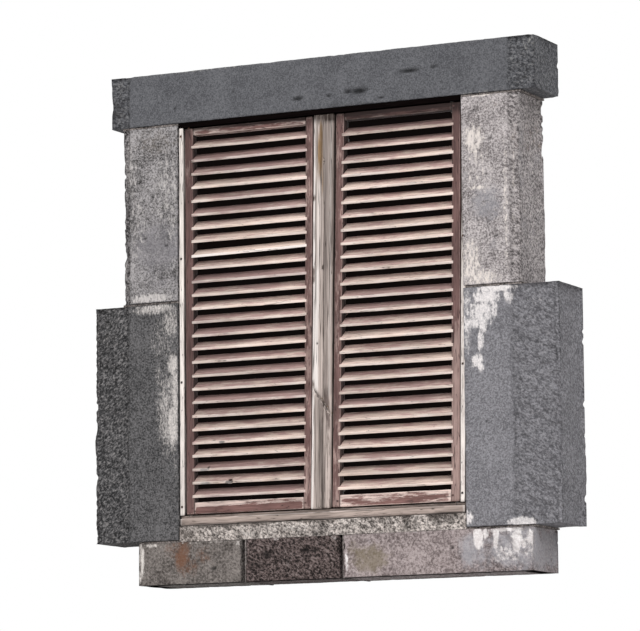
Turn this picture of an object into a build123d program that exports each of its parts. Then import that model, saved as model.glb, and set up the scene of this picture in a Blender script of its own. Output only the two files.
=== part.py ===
from build123d import *
import os
from math import cos, radians, tan

# Pair of louvred window shutters in a timber frame with a centre post,
# set in the dressed stone surround of the window.
# Millimetres. X runs to the right seen from outside, Y into the wall, Z up.
# The origin lies under the sill, in the middle of the opening, on the plane of the stone faces.

os.makedirs("parts", exist_ok=True)

# Stone opening and surround
opening_width = 1080
stone_depth = 210
sill_stone_height = 146
sill_projection = 12
lintel_height = 183
mortar_bed_height = 55
mortar_bed_setback = 2
mortar_joint = 6
left_margin = 190            # dressed band beside the opening
right_margin = 171
rough_setback = 6            # tooled tails lie behind the dressed band
stone_arris = 3              # chamfer on the corner of the opening
lintel_bearing_left = 268
lintel_bearing_right = 277
left_upper_width = 219
right_upper_width = 218
left_lower_width = 334
right_lower_width = 352
left_lower_height = 824
right_lower_height = 800
sill_left_overrun = 157      # past the opening
sill_right_overrun = 248
sill_first_joint = -285
sill_second_joint = 85

# Timber frame
frame_setback = 3            # behind the stone faces
frame_depth = 60
frame_gap = 4                # jamb to stone
jamb_face = 17
head_height = 17
sill_nose_height = 27
sill_nose_depth = 8
sill_upstand = 9
post_width = 76
post_offset = 18             # the post stands right of the middle
post_depth = 57
post_tenon_width = 40
post_tenon_thickness = 20
post_tenon_length = 12
stop_overlap = 8             # rebate of the post behind each leaf
stop_play = 1
nail_size = 3                # square cut nails
nail_head_size = 7
nail_head_thickness = 1
nail_length = 25
nail_count = 4
nail_end_distance = 30

# Leaves
leaf_setback = 9             # front of the leaf behind the stone faces
leaf_thickness = 34
leaf_gap = 4                 # hanging stile to jamb
meeting_gap = 3              # meeting stile to post
leaf_end_gap = 3             # leaf to head and to sill
hanging_stile_width = 32
meeting_stile_width = 27
stile_round = 3
top_rail_height = 27
bottom_rail_height = 42
tenon_length = 14
tenon_thickness = 10
tenon_from_front = 18
tenon_shoulder = 5
tenon_play = 0.2
peg_size = 6
hole_play = 0.05             # a driven pin, peg or nail in its hole

# Slats
slat_count = 27
slat_pitch = 46.7
slat_tilt = 35
slat_thickness = 8
slat_proud = 1
slat_housing = 7
slat_play = 0.2
lowest_gap = 16

# Pivots
pivot_radius = 5
pivot_inset = 12             # axis from the hanging edge
pivot_depth = 10             # axis from the front face
pivot_in_leaf = 35
pivot_in_frame = 12
collar_radius = 8
collar_play = 0.3
bush_radius = 7
bush_length = 14
running_play = 0.06

# Bolts and knobs
bolt_size = 8                # square bar
bolt_travel = 18
bolt_end_setback = 2         # drawn back behind the end of the leaf
bolt_length = 118
bolt_lift = 2                # bar clear of its plate
bolt_play = 0.1
bolt_hole_play = 1
bolt_end_play = 2            # below the end of a shot bolt
bolt_knob_radius = 3.5
bolt_knob_length = 12
bolt_knob_place = 58
plate_width = 16
plate_thickness = 2
plate_length = 98
plate_clearance = 1.5        # beside the stop of the post
guide_width = 14
guide_wall = 2.5
guide_bevel = 2
guide_length = 12
guide_ends = 4
plate_nail_size = 3
plate_nail_head = 6
plate_nail_length = 12
plate_nail_places = (50, 74)
knob_radius = 8
knob_length = 22
knob_neck_radius = 4
knob_neck_length = 9
knob_bevel = 3
knob_plate_thickness = 2
knob_spindle_radius = 2.5
knob_spindle_length = 14
knob_slat = 13               # the knob stands beside this slat

# Levels and planes worked out from the sizes above
half_opening = opening_width / 2
bed_top = sill_stone_height + mortar_bed_height
nose_top = bed_top + sill_nose_height
sill_top = nose_top + sill_upstand
leaf_bottom = sill_top + leaf_end_gap
slats_bottom = leaf_bottom + bottom_rail_height + lowest_gap
slats_top = slats_bottom + slat_count * slat_pitch
leaf_top = slats_top + top_rail_height
head_bottom = leaf_top + leaf_end_gap
lintel_bottom = head_bottom + head_height
lintel_top = lintel_bottom + lintel_height
leaf_height = leaf_top - leaf_bottom
frame_half = half_opening - frame_gap
jamb_half = frame_half - jamb_face
leaf_outer = jamb_half - leaf_gap
leaf_back = leaf_setback + leaf_thickness
post_left = post_offset - post_width / 2
post_right = post_offset + post_width / 2
stop_front = leaf_back + stop_play
pivot_y = leaf_setback + pivot_depth
bolt_y = leaf_back + plate_thickness + bolt_lift + bolt_size / 2
bolt_inset = stop_overlap + plate_clearance + plate_width / 2
bolt_hole_depth = bolt_travel - bolt_end_setback - leaf_end_gap + bolt_end_play
slat_rise = tan(radians(slat_tilt))
slat_edge = slat_thickness / cos(radians(slat_tilt))
written = []


def save(builder, name):
    """Labels a finished piece and writes it as one STEP file."""
    builder.part.label = name
    export_step(builder.part, f"parts/{name}.step")
    written.append(name)


def build_stone(name, x_inner, x_margin, x_outer, low, high):
    """A jamb stone: dressed face beside the opening, tooled tail behind it, in plan, carried up."""
    toward_wall = 1 if x_outer > x_inner else -1
    with BuildPart() as stone:
        with BuildSketch(Plane.XY.offset(low)):
            with BuildLine():
                Polyline(
                    (x_inner, stone_arris),
                    (x_inner + toward_wall * stone_arris, 0),
                    (x_margin, 0),
                    (x_margin + toward_wall * rough_setback, rough_setback),
                    (x_outer, rough_setback),
                    (x_outer, stone_depth),
                    (x_inner, stone_depth),
                    close=True,
                )
            make_face()
        extrude(amount=high - low)
    save(stone, name)


def build_surround():
    """Lintel, four jamb stones, three sill stones, and the mortar between them."""
    jamb_low = sill_stone_height + mortar_joint
    jamb_high = lintel_bottom - mortar_joint
    left_joint = jamb_low + left_lower_height
    right_joint = jamb_low + right_lower_height
    sides = (
        ("left", -1, left_margin, left_lower_width, left_upper_width, left_joint),
        ("right", 1, right_margin, right_lower_width, right_upper_width, right_joint),
    )
    for side_name, side, margin, lower_width, upper_width, joint in sides:
        inner = side * half_opening
        edge = side * (half_opening + margin)
        lower_end = side * (half_opening + lower_width)
        upper_end = side * (half_opening + upper_width)
        build_stone(f"{side_name}_lower_jamb_stone", inner, edge, lower_end, jamb_low, joint)
        build_stone(f"{side_name}_upper_jamb_stone", inner, edge, upper_end, joint + mortar_joint, jamb_high)

    lintel_left = -half_opening - lintel_bearing_left
    lintel_right = half_opening + lintel_bearing_right
    with BuildPart() as lintel:
        with BuildSketch(Plane.XY.offset(lintel_bottom)):
            with BuildLine():
                Polyline(
                    (lintel_left, rough_setback),
                    (-half_opening - left_margin - rough_setback, rough_setback),
                    (-half_opening - left_margin, 0),
                    (half_opening + right_margin, 0),
                    (half_opening + right_margin + rough_setback, rough_setback),
                    (lintel_right, rough_setback),
                    (lintel_right, stone_depth),
                    (lintel_left, stone_depth),
                    close=True,
                )
            make_face()
        extrude(amount=lintel_height)
        front_low = lintel.edges().filter_by(Axis.X).group_by(Axis.Z)[0].sort_by(Axis.Y)[0]
        chamfer(front_low, stone_arris)
    save(lintel, "lintel")

    joint_half = mortar_joint / 2
    sill_spans = (
        ("left", -half_opening - sill_left_overrun, sill_first_joint - joint_half),
        ("middle", sill_first_joint + joint_half, sill_second_joint - joint_half),
        ("right", sill_second_joint + joint_half, half_opening + sill_right_overrun),
    )
    for place, x_low, x_high in sill_spans:
        with BuildPart() as sill_stone:
            with BuildSketch(Plane.XY):
                with Locations(((x_low + x_high) / 2, (stone_depth - sill_projection) / 2)):
                    Rectangle(x_high - x_low, stone_depth + sill_projection)
            extrude(amount=sill_stone_height)
            chamfer(sill_stone.edges().filter_by(Axis.X).group_by(Axis.Y)[0], stone_arris)
        save(sill_stone, f"{place}_sill_stone")

    bed_depth = stone_depth - mortar_bed_setback
    with BuildPart() as mortar_bed:
        with BuildSketch(Plane.XY.offset(sill_stone_height)):
            with Locations((0, mortar_bed_setback + bed_depth / 2)):
                Rectangle(opening_width, bed_depth)
        extrude(amount=mortar_bed_height)
    save(mortar_bed, "mortar_bed")

    # Each joint lies behind the faces that it parts
    joint_front = rough_setback + mortar_bed_setback
    joint_depth = stone_depth - joint_front
    joint_y = joint_front + joint_depth / 2
    with BuildPart() as mortar_joints:
        for side_name, side, margin, lower_width, upper_width, joint in sides:
            overrun = sill_left_overrun if side < 0 else sill_right_overrun
            for low, reach in (
                (sill_stone_height, min(overrun, lower_width)),
                (joint, min(lower_width, upper_width)),
                (jamb_high, upper_width),
            ):
                with BuildSketch(Plane.XY.offset(low)):
                    with Locations((side * (half_opening + reach / 2), joint_y)):
                        Rectangle(reach, joint_depth)
                extrude(amount=mortar_joint)
        with BuildSketch(Plane.XY):
            with Locations((sill_first_joint, joint_y), (sill_second_joint, joint_y)):
                Rectangle(mortar_joint, joint_depth)
        extrude(amount=sill_stone_height)
    save(mortar_joints, "mortar_joints")


def nail_points():
    """Where the nails stand on the faces of the two frame jambs, as (x, z)."""
    low = sill_top + nail_end_distance
    step = (head_bottom - nail_end_distance - low) / (nail_count - 1)
    x_nail = frame_half - jamb_face / 2
    return [(side * x_nail, low + i * step) for side in (-1, 1) for i in range(nail_count)]


def bolt_x(side):
    """Axis of the bolts of one leaf."""
    return (post_left - meeting_gap - bolt_inset) if side < 0 else (post_right + meeting_gap + bolt_inset)


def build_frame():
    """Head, sill, two jambs and the centre post, with the sockets for pivots, bolts and tenons."""
    pivot_points = [(side * (leaf_outer - pivot_inset), pivot_y) for side in (-1, 1)]
    bolt_points = [(bolt_x(side), bolt_y) for side in (-1, 1)]
    frame_back = frame_setback + frame_depth
    frame_y = frame_setback + frame_depth / 2
    post_y = stop_front - (stop_front - frame_setback) / 2

    with BuildPart() as head:
        with BuildSketch(Plane.XY.offset(head_bottom)):
            with Locations((0, frame_y)):
                Rectangle(2 * frame_half, frame_depth)
        extrude(amount=head_height)
        with BuildSketch(Plane.XY.offset(head_bottom)):
            with Locations((post_offset, post_y)):
                Rectangle(post_tenon_width + 2 * tenon_play, post_tenon_thickness + 2 * tenon_play)
        extrude(amount=post_tenon_length + tenon_play, mode=Mode.SUBTRACT)
        with BuildSketch(Plane.XY.offset(head_bottom)):
            with Locations(*pivot_points):
                Circle(bush_radius + hole_play)
        extrude(amount=bush_length, mode=Mode.SUBTRACT)
        with BuildSketch(Plane.XY.offset(head_bottom)):
            with Locations(*bolt_points):
                Rectangle(bolt_size + 2 * bolt_hole_play, bolt_size + 2 * bolt_hole_play)
        extrude(amount=bolt_hole_depth, mode=Mode.SUBTRACT)
    save(head, "frame_head")

    with BuildPart() as sill:
        with BuildSketch(Plane.YZ.offset(-frame_half)):
            with BuildLine():
                Polyline(
                    (frame_setback, bed_top),
                    (frame_setback, nose_top),
                    (frame_setback + sill_nose_depth, nose_top),
                    (frame_setback + sill_nose_depth, sill_top),
                    (frame_back, sill_top),
                    (frame_back, bed_top),
                    close=True,
                )
            make_face()
        extrude(amount=2 * frame_half)
        with BuildSketch(Plane.XY.offset(sill_top)):
            with Locations((post_offset, post_y)):
                Rectangle(post_tenon_width + 2 * tenon_play, post_tenon_thickness + 2 * tenon_play)
        extrude(amount=-post_tenon_length - tenon_play, mode=Mode.SUBTRACT)
        with BuildSketch(Plane.XY.offset(sill_top)):
            with Locations(*pivot_points):
                Circle(bush_radius + hole_play)
        extrude(amount=-bush_length, mode=Mode.SUBTRACT)
        with BuildSketch(Plane.XY.offset(sill_top)):
            with Locations(*bolt_points):
                Rectangle(bolt_size + 2 * bolt_hole_play, bolt_size + 2 * bolt_hole_play)
        extrude(amount=-bolt_hole_depth, mode=Mode.SUBTRACT)
    save(sill, "frame_sill")

    for side_name, side in (("left", -1), ("right", 1)):
        with BuildPart() as jamb:
            with BuildSketch(Plane.XY.offset(sill_top)):
                with Locations((side * (frame_half - jamb_face / 2), frame_y)):
                    Rectangle(jamb_face, frame_depth)
            extrude(amount=head_bottom - sill_top)
            with BuildSketch(Plane.XZ.offset(-frame_setback)):
                with Locations(*[point for point in nail_points() if point[0] * side > 0]):
                    Rectangle(nail_size + 2 * hole_play, nail_size + 2 * hole_play)
            extrude(amount=-nail_length, mode=Mode.SUBTRACT)
        save(jamb, f"frame_{side_name}_jamb")

    with BuildPart() as nails:
        with BuildSketch(Plane.XZ.offset(-frame_setback)):
            with Locations(*nail_points()):
                Rectangle(nail_size, nail_size)
        extrude(amount=-nail_length)
        with BuildSketch(Plane.XZ.offset(-frame_setback)):
            with Locations(*nail_points()):
                Rectangle(nail_head_size, nail_head_size)
        extrude(amount=nail_head_thickness)
    save(nails, "frame_nails")

    # The post is a tee in plan: its wider back is the stop for both leaves
    stop_left = post_left - meeting_gap - stop_overlap
    stop_right = post_right + meeting_gap + stop_overlap
    with BuildPart() as post:
        with BuildSketch(Plane.XY.offset(sill_top)):
            with BuildLine():
                Polyline(
                    (post_left, frame_setback),
                    (post_right, frame_setback),
                    (post_right, stop_front),
                    (stop_right, stop_front),
                    (stop_right, frame_setback + post_depth),
                    (stop_left, frame_setback + post_depth),
                    (stop_left, stop_front),
                    (post_left, stop_front),
                    close=True,
                )
            make_face()
        extrude(amount=head_bottom - sill_top)
        with BuildSketch(Plane.XY.offset(sill_top - post_tenon_length)):
            with Locations((post_offset, post_y)):
                Rectangle(post_tenon_width, post_tenon_thickness)
        extrude(amount=head_bottom - sill_top + 2 * post_tenon_length)
    save(post, "centre_post")


def build_bushes(side_name, side):
    """The two flush bushes in which one leaf turns, in the sill and in the head."""
    with BuildPart() as bushes:
        for low in (sill_top - bush_length, head_bottom):
            with BuildSketch(Plane.XY.offset(low)):
                with Locations((side * (leaf_outer - pivot_inset), pivot_y)):
                    Circle(bush_radius)
                    Circle(pivot_radius + running_play, mode=Mode.SUBTRACT)
            extrude(amount=bush_length)
    save(bushes, f"{side_name}_pivot_bushes")


def slat_section(play, overrun):
    """Corners of a slat in (y, z), its lower front corner at height 0: edges upright, faces sloping."""
    front = leaf_setback - slat_proud
    y_low = front - overrun
    y_high = leaf_back + overrun
    spread = play / cos(radians(slat_tilt))
    low_start = (y_low - front) * slat_rise - spread
    low_end = (y_high - front) * slat_rise - spread
    thick = slat_edge + 2 * spread
    return [(y_low, low_start), (y_high, low_end), (y_high, low_end + thick), (y_low, low_start + thick)]


def build_leaf(side_name, side):
    """One louvred leaf with its pivots, bolts and knob."""
    inner_edge = (-post_left + meeting_gap) if side < 0 else (post_right + meeting_gap)
    width = leaf_outer - inner_edge

    def x_at(inset):
        """X of a place this far from the hanging edge, towards the post."""
        return side * (leaf_outer - inset)

    leaf_y = leaf_setback + leaf_thickness / 2
    stile_low = hanging_stile_width
    stile_high = width - meeting_stile_width
    tenon_y = leaf_setback + tenon_from_front + tenon_thickness / 2
    rails = (
        ("bottom_rail", leaf_bottom, bottom_rail_height),
        ("top_rail", slats_top, top_rail_height),
    )
    peg_places = [
        (inset, low + height / 2)
        for inset in (stile_low - tenon_length / 2, stile_high + tenon_length / 2)
        for _, low, height in rails
    ]
    plate_x = x_at(width - bolt_inset)
    grooves_middle = slats_bottom + (slat_count - 1) / 2 * slat_pitch

    # Two plates, at the foot and at the top, each held by its nails
    nail_levels = [leaf_bottom + place for place in plate_nail_places]
    nail_levels += [leaf_top - place for place in plate_nail_places]
    knob_level = slats_bottom + knob_slat * slat_pitch

    stiles = (
        ("hanging_stile", 0, stile_low),
        ("meeting_stile", stile_high, width),
    )
    for stile_name, start, end in stiles:
        hanging = stile_name == "hanging_stile"
        groove_floor = stile_low - slat_housing if hanging else stile_high + slat_housing
        mouth = stile_low if hanging else stile_high
        tenon_middle = mouth - tenon_length / 2 if hanging else mouth + tenon_length / 2
        with BuildPart() as stile:
            with BuildSketch(Plane.XY.offset(leaf_bottom)):
                with Locations((x_at((start + end) / 2), leaf_y)):
                    Rectangle(end - start, leaf_thickness)
            extrude(amount=leaf_height)
            outer_edges = stile.edges().filter_by(Axis.Z).group_by(Axis.Y)[0].sort_by(Axis.X)
            outer_edge = outer_edges[0] if (side < 0) == hanging else outer_edges[-1]
            fillet(outer_edge, stile_round)
            with BuildSketch(Plane.YZ.offset(x_at((groove_floor + mouth) / 2))):
                with Locations((0, grooves_middle)):
                    with GridLocations(0, slat_pitch, 1, slat_count):
                        Polygon(*slat_section(slat_play, leaf_thickness), align=None)
            extrude(amount=slat_housing / 2, both=True, mode=Mode.SUBTRACT)
            for _, low, height in rails:
                with BuildSketch(Plane.XY.offset(low + tenon_shoulder - tenon_play)):
                    with Locations((x_at(tenon_middle), tenon_y)):
                        Rectangle(tenon_length, tenon_thickness + 2 * tenon_play)
                extrude(amount=height - 2 * tenon_shoulder + 2 * tenon_play, mode=Mode.SUBTRACT)
            with BuildSketch(Plane.XZ.offset(-leaf_setback)):
                with Locations(*[(x_at(inset), level) for inset, level in peg_places if start < inset < end]):
                    Rectangle(peg_size + 2 * hole_play, peg_size + 2 * hole_play)
            extrude(amount=-leaf_thickness, mode=Mode.SUBTRACT)
            if hanging:
                for low, depth in ((leaf_bottom, pivot_in_leaf), (leaf_top, -pivot_in_leaf)):
                    with BuildSketch(Plane.XY.offset(low)):
                        with Locations((x_at(pivot_inset), pivot_y)):
                            Circle(pivot_radius + hole_play)
                    extrude(amount=depth, mode=Mode.SUBTRACT)
            else:
                with BuildSketch(Plane.XZ.offset(-leaf_back)):
                    with Locations(*[(plate_x, level) for level in nail_levels]):
                        Rectangle(plate_nail_size + 2 * hole_play, plate_nail_size + 2 * hole_play)
                extrude(amount=plate_nail_length, mode=Mode.SUBTRACT)
                with BuildSketch(Plane.XZ.offset(-leaf_back)):
                    with Locations((plate_x, knob_level)):
                        Circle(knob_spindle_radius + hole_play)
                extrude(amount=knob_spindle_length, mode=Mode.SUBTRACT)
        save(stile, f"{side_name}_{stile_name}")

    for rail_name, low, height in rails:
        with BuildPart() as rail:
            with BuildSketch(Plane.XY.offset(low)):
                with Locations((x_at((stile_low + stile_high) / 2), leaf_y)):
                    Rectangle(stile_high - stile_low, leaf_thickness)
            extrude(amount=height)
            with BuildSketch(Plane.XY.offset(low + tenon_shoulder)):
                with Locations((x_at((stile_low + stile_high) / 2), tenon_y)):
                    Rectangle(stile_high - stile_low + 2 * (tenon_length - tenon_play), tenon_thickness)
            extrude(amount=height - 2 * tenon_shoulder)
            with BuildSketch(Plane.XZ.offset(-leaf_setback)):
                with Locations(*[(x_at(inset), low + height / 2) for inset, level in peg_places[::2]]):
                    Rectangle(peg_size + 2 * hole_play, peg_size + 2 * hole_play)
            extrude(amount=-leaf_thickness, mode=Mode.SUBTRACT)
        save(rail, f"{side_name}_{rail_name}")

    with BuildPart() as pegs:
        with BuildSketch(Plane.XZ.offset(-leaf_setback)):
            with Locations(*[(x_at(inset), level) for inset, level in peg_places]):
                Rectangle(peg_size, peg_size)
        extrude(amount=-leaf_thickness)
    save(pegs, f"{side_name}_pegs")

    slat_length = stile_high - stile_low + 2 * (slat_housing - slat_play)
    with BuildPart() as slats:
        with BuildSketch(Plane.YZ.offset(x_at((stile_low + stile_high) / 2))):
            with Locations((0, grooves_middle)):
                with GridLocations(0, slat_pitch, 1, slat_count):
                    Polygon(*slat_section(0, 0), align=None)
        extrude(amount=slat_length / 2, both=True)
    save(slats, f"{side_name}_slats")

    with BuildPart() as pins:
        for end, outward in ((leaf_bottom, -1), (leaf_top, 1)):
            with BuildSketch(Plane.XY.offset(end - outward * pivot_in_leaf)):
                with Locations((x_at(pivot_inset), pivot_y)):
                    Circle(pivot_radius)
            extrude(amount=outward * (pivot_in_leaf + leaf_end_gap + pivot_in_frame))
            with BuildSketch(Plane.XY.offset(end)):
                with Locations((x_at(pivot_inset), pivot_y)):
                    Circle(collar_radius)
            extrude(amount=outward * (leaf_end_gap - collar_play))
    save(pins, f"{side_name}_pivot_pins")

    # Tower bolts on the room side: one shoots down into the sill, one up into the head
    for bolt_name, end, inward in (("bottom", leaf_bottom, 1), ("top", leaf_top, -1)):
        plate_start = end + inward * bolt_end_setback
        plate_y = leaf_back + plate_thickness / 2
        guide_top = bolt_y + bolt_size / 2 + guide_wall
        strap_starts = (guide_ends, plate_length - guide_ends - guide_length)
        with BuildPart() as bolt_plate:
            with BuildSketch(Plane.XY.offset(plate_start)):
                with Locations((plate_x, plate_y)):
                    Rectangle(plate_width, plate_thickness)
            extrude(amount=inward * plate_length)
            for strap_start in strap_starts:
                with BuildSketch(Plane.XY.offset(plate_start + inward * strap_start)):
                    with Locations((plate_x, (leaf_back + guide_top) / 2)):
                        Rectangle(guide_width, guide_top - leaf_back)
                    chamfer(vertices().group_by(Axis.Y)[-1], guide_bevel)
                    with Locations((plate_x, bolt_y)):
                        Rectangle(bolt_size + 2 * bolt_play, bolt_size + 2 * bolt_play, mode=Mode.SUBTRACT)
                extrude(amount=inward * guide_length)
            with BuildSketch(Plane.XZ.offset(-leaf_back)):
                with Locations(*[(plate_x, end + inward * place) for place in plate_nail_places]):
                    Rectangle(plate_nail_size + 2 * hole_play, plate_nail_size + 2 * hole_play)
            extrude(amount=-plate_thickness, mode=Mode.SUBTRACT)
        save(bolt_plate, f"{side_name}_{bolt_name}_bolt_plate")

        with BuildPart() as bolt:
            with BuildSketch(Plane.XY.offset(plate_start)):
                with Locations((plate_x, bolt_y)):
                    Rectangle(bolt_size, bolt_size)
            extrude(amount=inward * bolt_length)
            with BuildSketch(Plane.XZ.offset(-bolt_y)):
                with Locations((plate_x, plate_start + inward * bolt_knob_place)):
                    Circle(bolt_knob_radius)
            extrude(amount=-bolt_size / 2 - bolt_knob_length)
        save(bolt, f"{side_name}_{bolt_name}_bolt")

    with BuildPart() as plate_nails:
        with BuildSketch(Plane.XZ.offset(-leaf_back - plate_thickness)):
            with Locations(*[(plate_x, level) for level in nail_levels]):
                Rectangle(plate_nail_head, plate_nail_head)
        extrude(amount=-nail_head_thickness)
        with BuildSketch(Plane.XZ.offset(-leaf_back - plate_thickness)):
            with Locations(*[(plate_x, level) for level in nail_levels]):
                Rectangle(plate_nail_size, plate_nail_size)
        extrude(amount=plate_nail_length)
    save(plate_nails, f"{side_name}_bolt_nails")

    # Forged iron knob: eight-sided plate and bevelled grip, round neck and spindle
    grip_length = knob_length - knob_plate_thickness - knob_neck_length
    with BuildPart() as knob:
        with BuildSketch(Plane.XZ.offset(-leaf_back)):
            with Locations((plate_x, knob_level)):
                RegularPolygon(knob_radius, 8)
        extrude(amount=-knob_plate_thickness)
        with BuildSketch(Plane.XZ.offset(-leaf_back)):
            with Locations((plate_x, knob_level)):
                Circle(knob_spindle_radius)
        extrude(amount=knob_spindle_length)
        with BuildSketch(Plane.XZ.offset(-leaf_back - knob_plate_thickness)):
            with Locations((plate_x, knob_level)):
                Circle(knob_neck_radius)
        extrude(amount=-knob_neck_length)
        with BuildSketch(Plane.XZ.offset(-leaf_back - knob_length)):
            with Locations((plate_x, knob_level)):
                RegularPolygon(knob_radius, 8)
        extrude(amount=grip_length)
        chamfer(faces().filter_by(Axis.Y).group_by(Axis.Y)[-1].edges(), knob_bevel)
    save(knob, f"{side_name}_knob")


build_surround()
build_frame()
for leaf_name, leaf_side in (("left", -1), ("right", 1)):
    build_bushes(leaf_name, leaf_side)
    build_leaf(leaf_name, leaf_side)
print(len(written), "pieces written")
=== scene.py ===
import bpy
import math
import numpy as np
from mathutils import Matrix, Vector


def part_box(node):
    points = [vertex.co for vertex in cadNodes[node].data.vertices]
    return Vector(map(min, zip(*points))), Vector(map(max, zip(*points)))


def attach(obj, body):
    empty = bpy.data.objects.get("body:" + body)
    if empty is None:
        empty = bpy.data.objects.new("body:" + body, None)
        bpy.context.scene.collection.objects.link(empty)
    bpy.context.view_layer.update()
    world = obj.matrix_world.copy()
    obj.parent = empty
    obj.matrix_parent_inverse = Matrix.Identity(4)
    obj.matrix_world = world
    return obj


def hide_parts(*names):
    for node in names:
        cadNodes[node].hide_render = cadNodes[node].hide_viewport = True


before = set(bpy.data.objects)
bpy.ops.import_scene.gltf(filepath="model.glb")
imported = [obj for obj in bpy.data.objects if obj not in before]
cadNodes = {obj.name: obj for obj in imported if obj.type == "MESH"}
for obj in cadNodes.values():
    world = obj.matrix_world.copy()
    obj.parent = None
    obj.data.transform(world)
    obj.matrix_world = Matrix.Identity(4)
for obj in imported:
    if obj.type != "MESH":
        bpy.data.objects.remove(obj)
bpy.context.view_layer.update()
print("frame loaded,", len(cadNodes), "nodes")

# Camera, at the photograph's angle
cameraSettings = {
    "place": (5.671, -11.419, -0.821),
    "target": (0.009, 0.0, 0.894),
    "rollDegrees": -0.492,
    "lensMm": 213.2,
    "sensorMm": 36,
    "farthest": 100,
}


def addCamera():
    place = Vector(cameraSettings["place"])
    forward = (Vector(cameraSettings["target"]) - place).normalized()
    level = forward.cross(Vector((0, 0, 1))).normalized()
    above = level.cross(forward)
    roll = math.radians(cameraSettings["rollDegrees"])
    right = level * math.cos(roll) + above * math.sin(roll)
    up = above * math.cos(roll) - level * math.sin(roll)
    data = bpy.data.cameras.new("Camera")
    data.lens = cameraSettings["lensMm"]
    data.sensor_width = cameraSettings["sensorMm"]
    data.sensor_fit = "HORIZONTAL"
    data.clip_end = cameraSettings["farthest"]
    camera = bpy.data.objects.new("Camera", data)
    bpy.context.scene.collection.objects.link(camera)
    camera.matrix_world = Matrix.Translation(place) @ Matrix((right, up, -forward)).transposed().to_4x4()
    bpy.context.scene.camera = camera


addCamera()

# Noise. Each corner of a unit lattice gets a fixed number, mixed from its own three whole numbers, and a
# point takes the smoothly weighted mean of the eight corners round it. Octaves at half the size and half
# the weight are added on top. Results run from 0 to 1.
noiseValues = {"factors": (374761393, 668265263, 362437, 974711), "mixer": 1274126177,
               "whole": 0xFFFFFFFF, "kept": 0xFFFFFF}


def cornerValue(i, j, k, seed):
    a, b, c, d = noiseValues["factors"]
    mixed = (i * a + j * b + k * c + seed * d) & noiseValues["whole"]
    mixed = ((mixed ^ (mixed >> 13)) * noiseValues["mixer"]) & noiseValues["whole"]
    return ((mixed ^ (mixed >> 16)) & noiseValues["kept"]) / noiseValues["kept"]


def smoothNoise(x, y, z, seed):
    cells = [np.floor(v).astype(np.int64) for v in (x, y, z)]
    parts = [v - c for v, c in zip((x, y, z), cells)]
    weights = [p * p * (3 - 2 * p) for p in parts]
    total = np.zeros(np.broadcast(x, y, z).shape)
    for di in (0, 1):
        for dj in (0, 1):
            for dk in (0, 1):
                share = 1
                for weight, d in zip(weights, (di, dj, dk)):
                    share = share * (weight if d else 1 - weight)
                total = total + share * cornerValue(cells[0] + di, cells[1] + dj, cells[2] + dk, seed)
    return total


def layeredNoise(points, size, octaves, seed, stretch=(1, 1, 1)):
    x, y, z = (points[..., i] / (size * stretch[i]) for i in range(3))
    total, weight, full = 0, 1, 0
    for octave in range(octaves):
        step = 2 ** octave
        total = total + weight * smoothNoise(x * step, y * step, z * step, seed + octave)
        full += weight
        weight *= 0.5
    return total / full


# Smooth step from 0 at low to 1 at high
def ramp(value, low, high):
    part = np.clip((value - low) / (high - low), 0, 1)
    return part * part * (3 - 2 * part)


# Soft band round a place: exp(-(distance / width) ^ power)
def bell(value, place, width, power=2):
    return np.exp(-((value - place) / width) ** power)


# Grid lines across a length: even steps, with extra lines at the places given
def gridLines(low, high, step, extra=()):
    count = max(2, int(round((high - low) / step)) + 1)
    extra = [v for v in extra if low < v < high]
    return np.unique(np.round(np.concatenate((np.linspace(low, high, count), extra)), 6))


# Surface of a box on a lattice: every lattice point that lies on the outside, joined in squares that
# face outwards. The squares share their points along the arrises, so the shell is closed.
def boxShell(xs, ys, zs):
    shape = (len(xs), len(ys), len(zs))
    outside = np.zeros(shape, bool)
    outside[[0, -1]] = outside[:, [0, -1]] = outside[:, :, [0, -1]] = True
    number = np.full(shape, -1)
    number[outside] = np.arange(outside.sum())
    points = np.stack([grid[outside] for grid in np.meshgrid(xs, ys, zs, indexing="ij")], 1)
    sheets = ((number[0], True), (number[-1], False), (number[:, 0], False),
              (number[:, -1], True), (number[:, :, 0], True), (number[:, :, -1], False))
    squares = []
    for sheet, turned in sheets:
        square = np.stack((sheet[:-1, :-1], sheet[1:, :-1], sheet[1:, 1:], sheet[:-1, 1:]), -1).reshape(-1, 4)
        squares.append(square[:, ::-1] if turned else square)
    return points, np.concatenate(squares)


# Rounds the arrises of a box shell: each point is drawn to the nearest point of a smaller box and pushed
# back out by the radius. Returns the points and their outward directions.
def roundBox(points, radius):
    low, high = points.min(0), points.max(0)
    radius = np.broadcast_to(radius, (len(points),))[:, None]
    core = np.clip(points, low + radius, high - radius)
    away = points - core
    away = away / np.maximum(np.linalg.norm(away, axis=1, keepdims=True), 1e-9)
    return core + away * radius, away


def addMesh(name, points, faces, fields=None, smooth=True):
    mesh = bpy.data.meshes.new(name)
    mesh.from_pydata(points.tolist(), [], [list(face) for face in faces])
    mesh.polygons.foreach_set("use_smooth", [smooth] * len(mesh.polygons))
    for label, values in (fields or {}).items():
        field = mesh.attributes.new(label, "FLOAT", "POINT")
        field.data.foreach_set("value", np.ascontiguousarray(values, np.float32))
    mesh.update()
    piece = bpy.data.objects.new(name, mesh)
    bpy.context.scene.collection.objects.link(piece)
    return piece


# Gives a new piece its material and puts it in the place of a CAD node
def standIn(piece, material, nodeName, body):
    piece.data.materials.append(material)
    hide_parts(nodeName)
    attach(piece, body)


def finishNode(nodeName, material):
    cadNodes[nodeName].data.materials.clear()
    cadNodes[nodeName].data.materials.append(material)


def cadBox(nodeName):
    return [np.array(corner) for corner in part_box(nodeName)]


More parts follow.
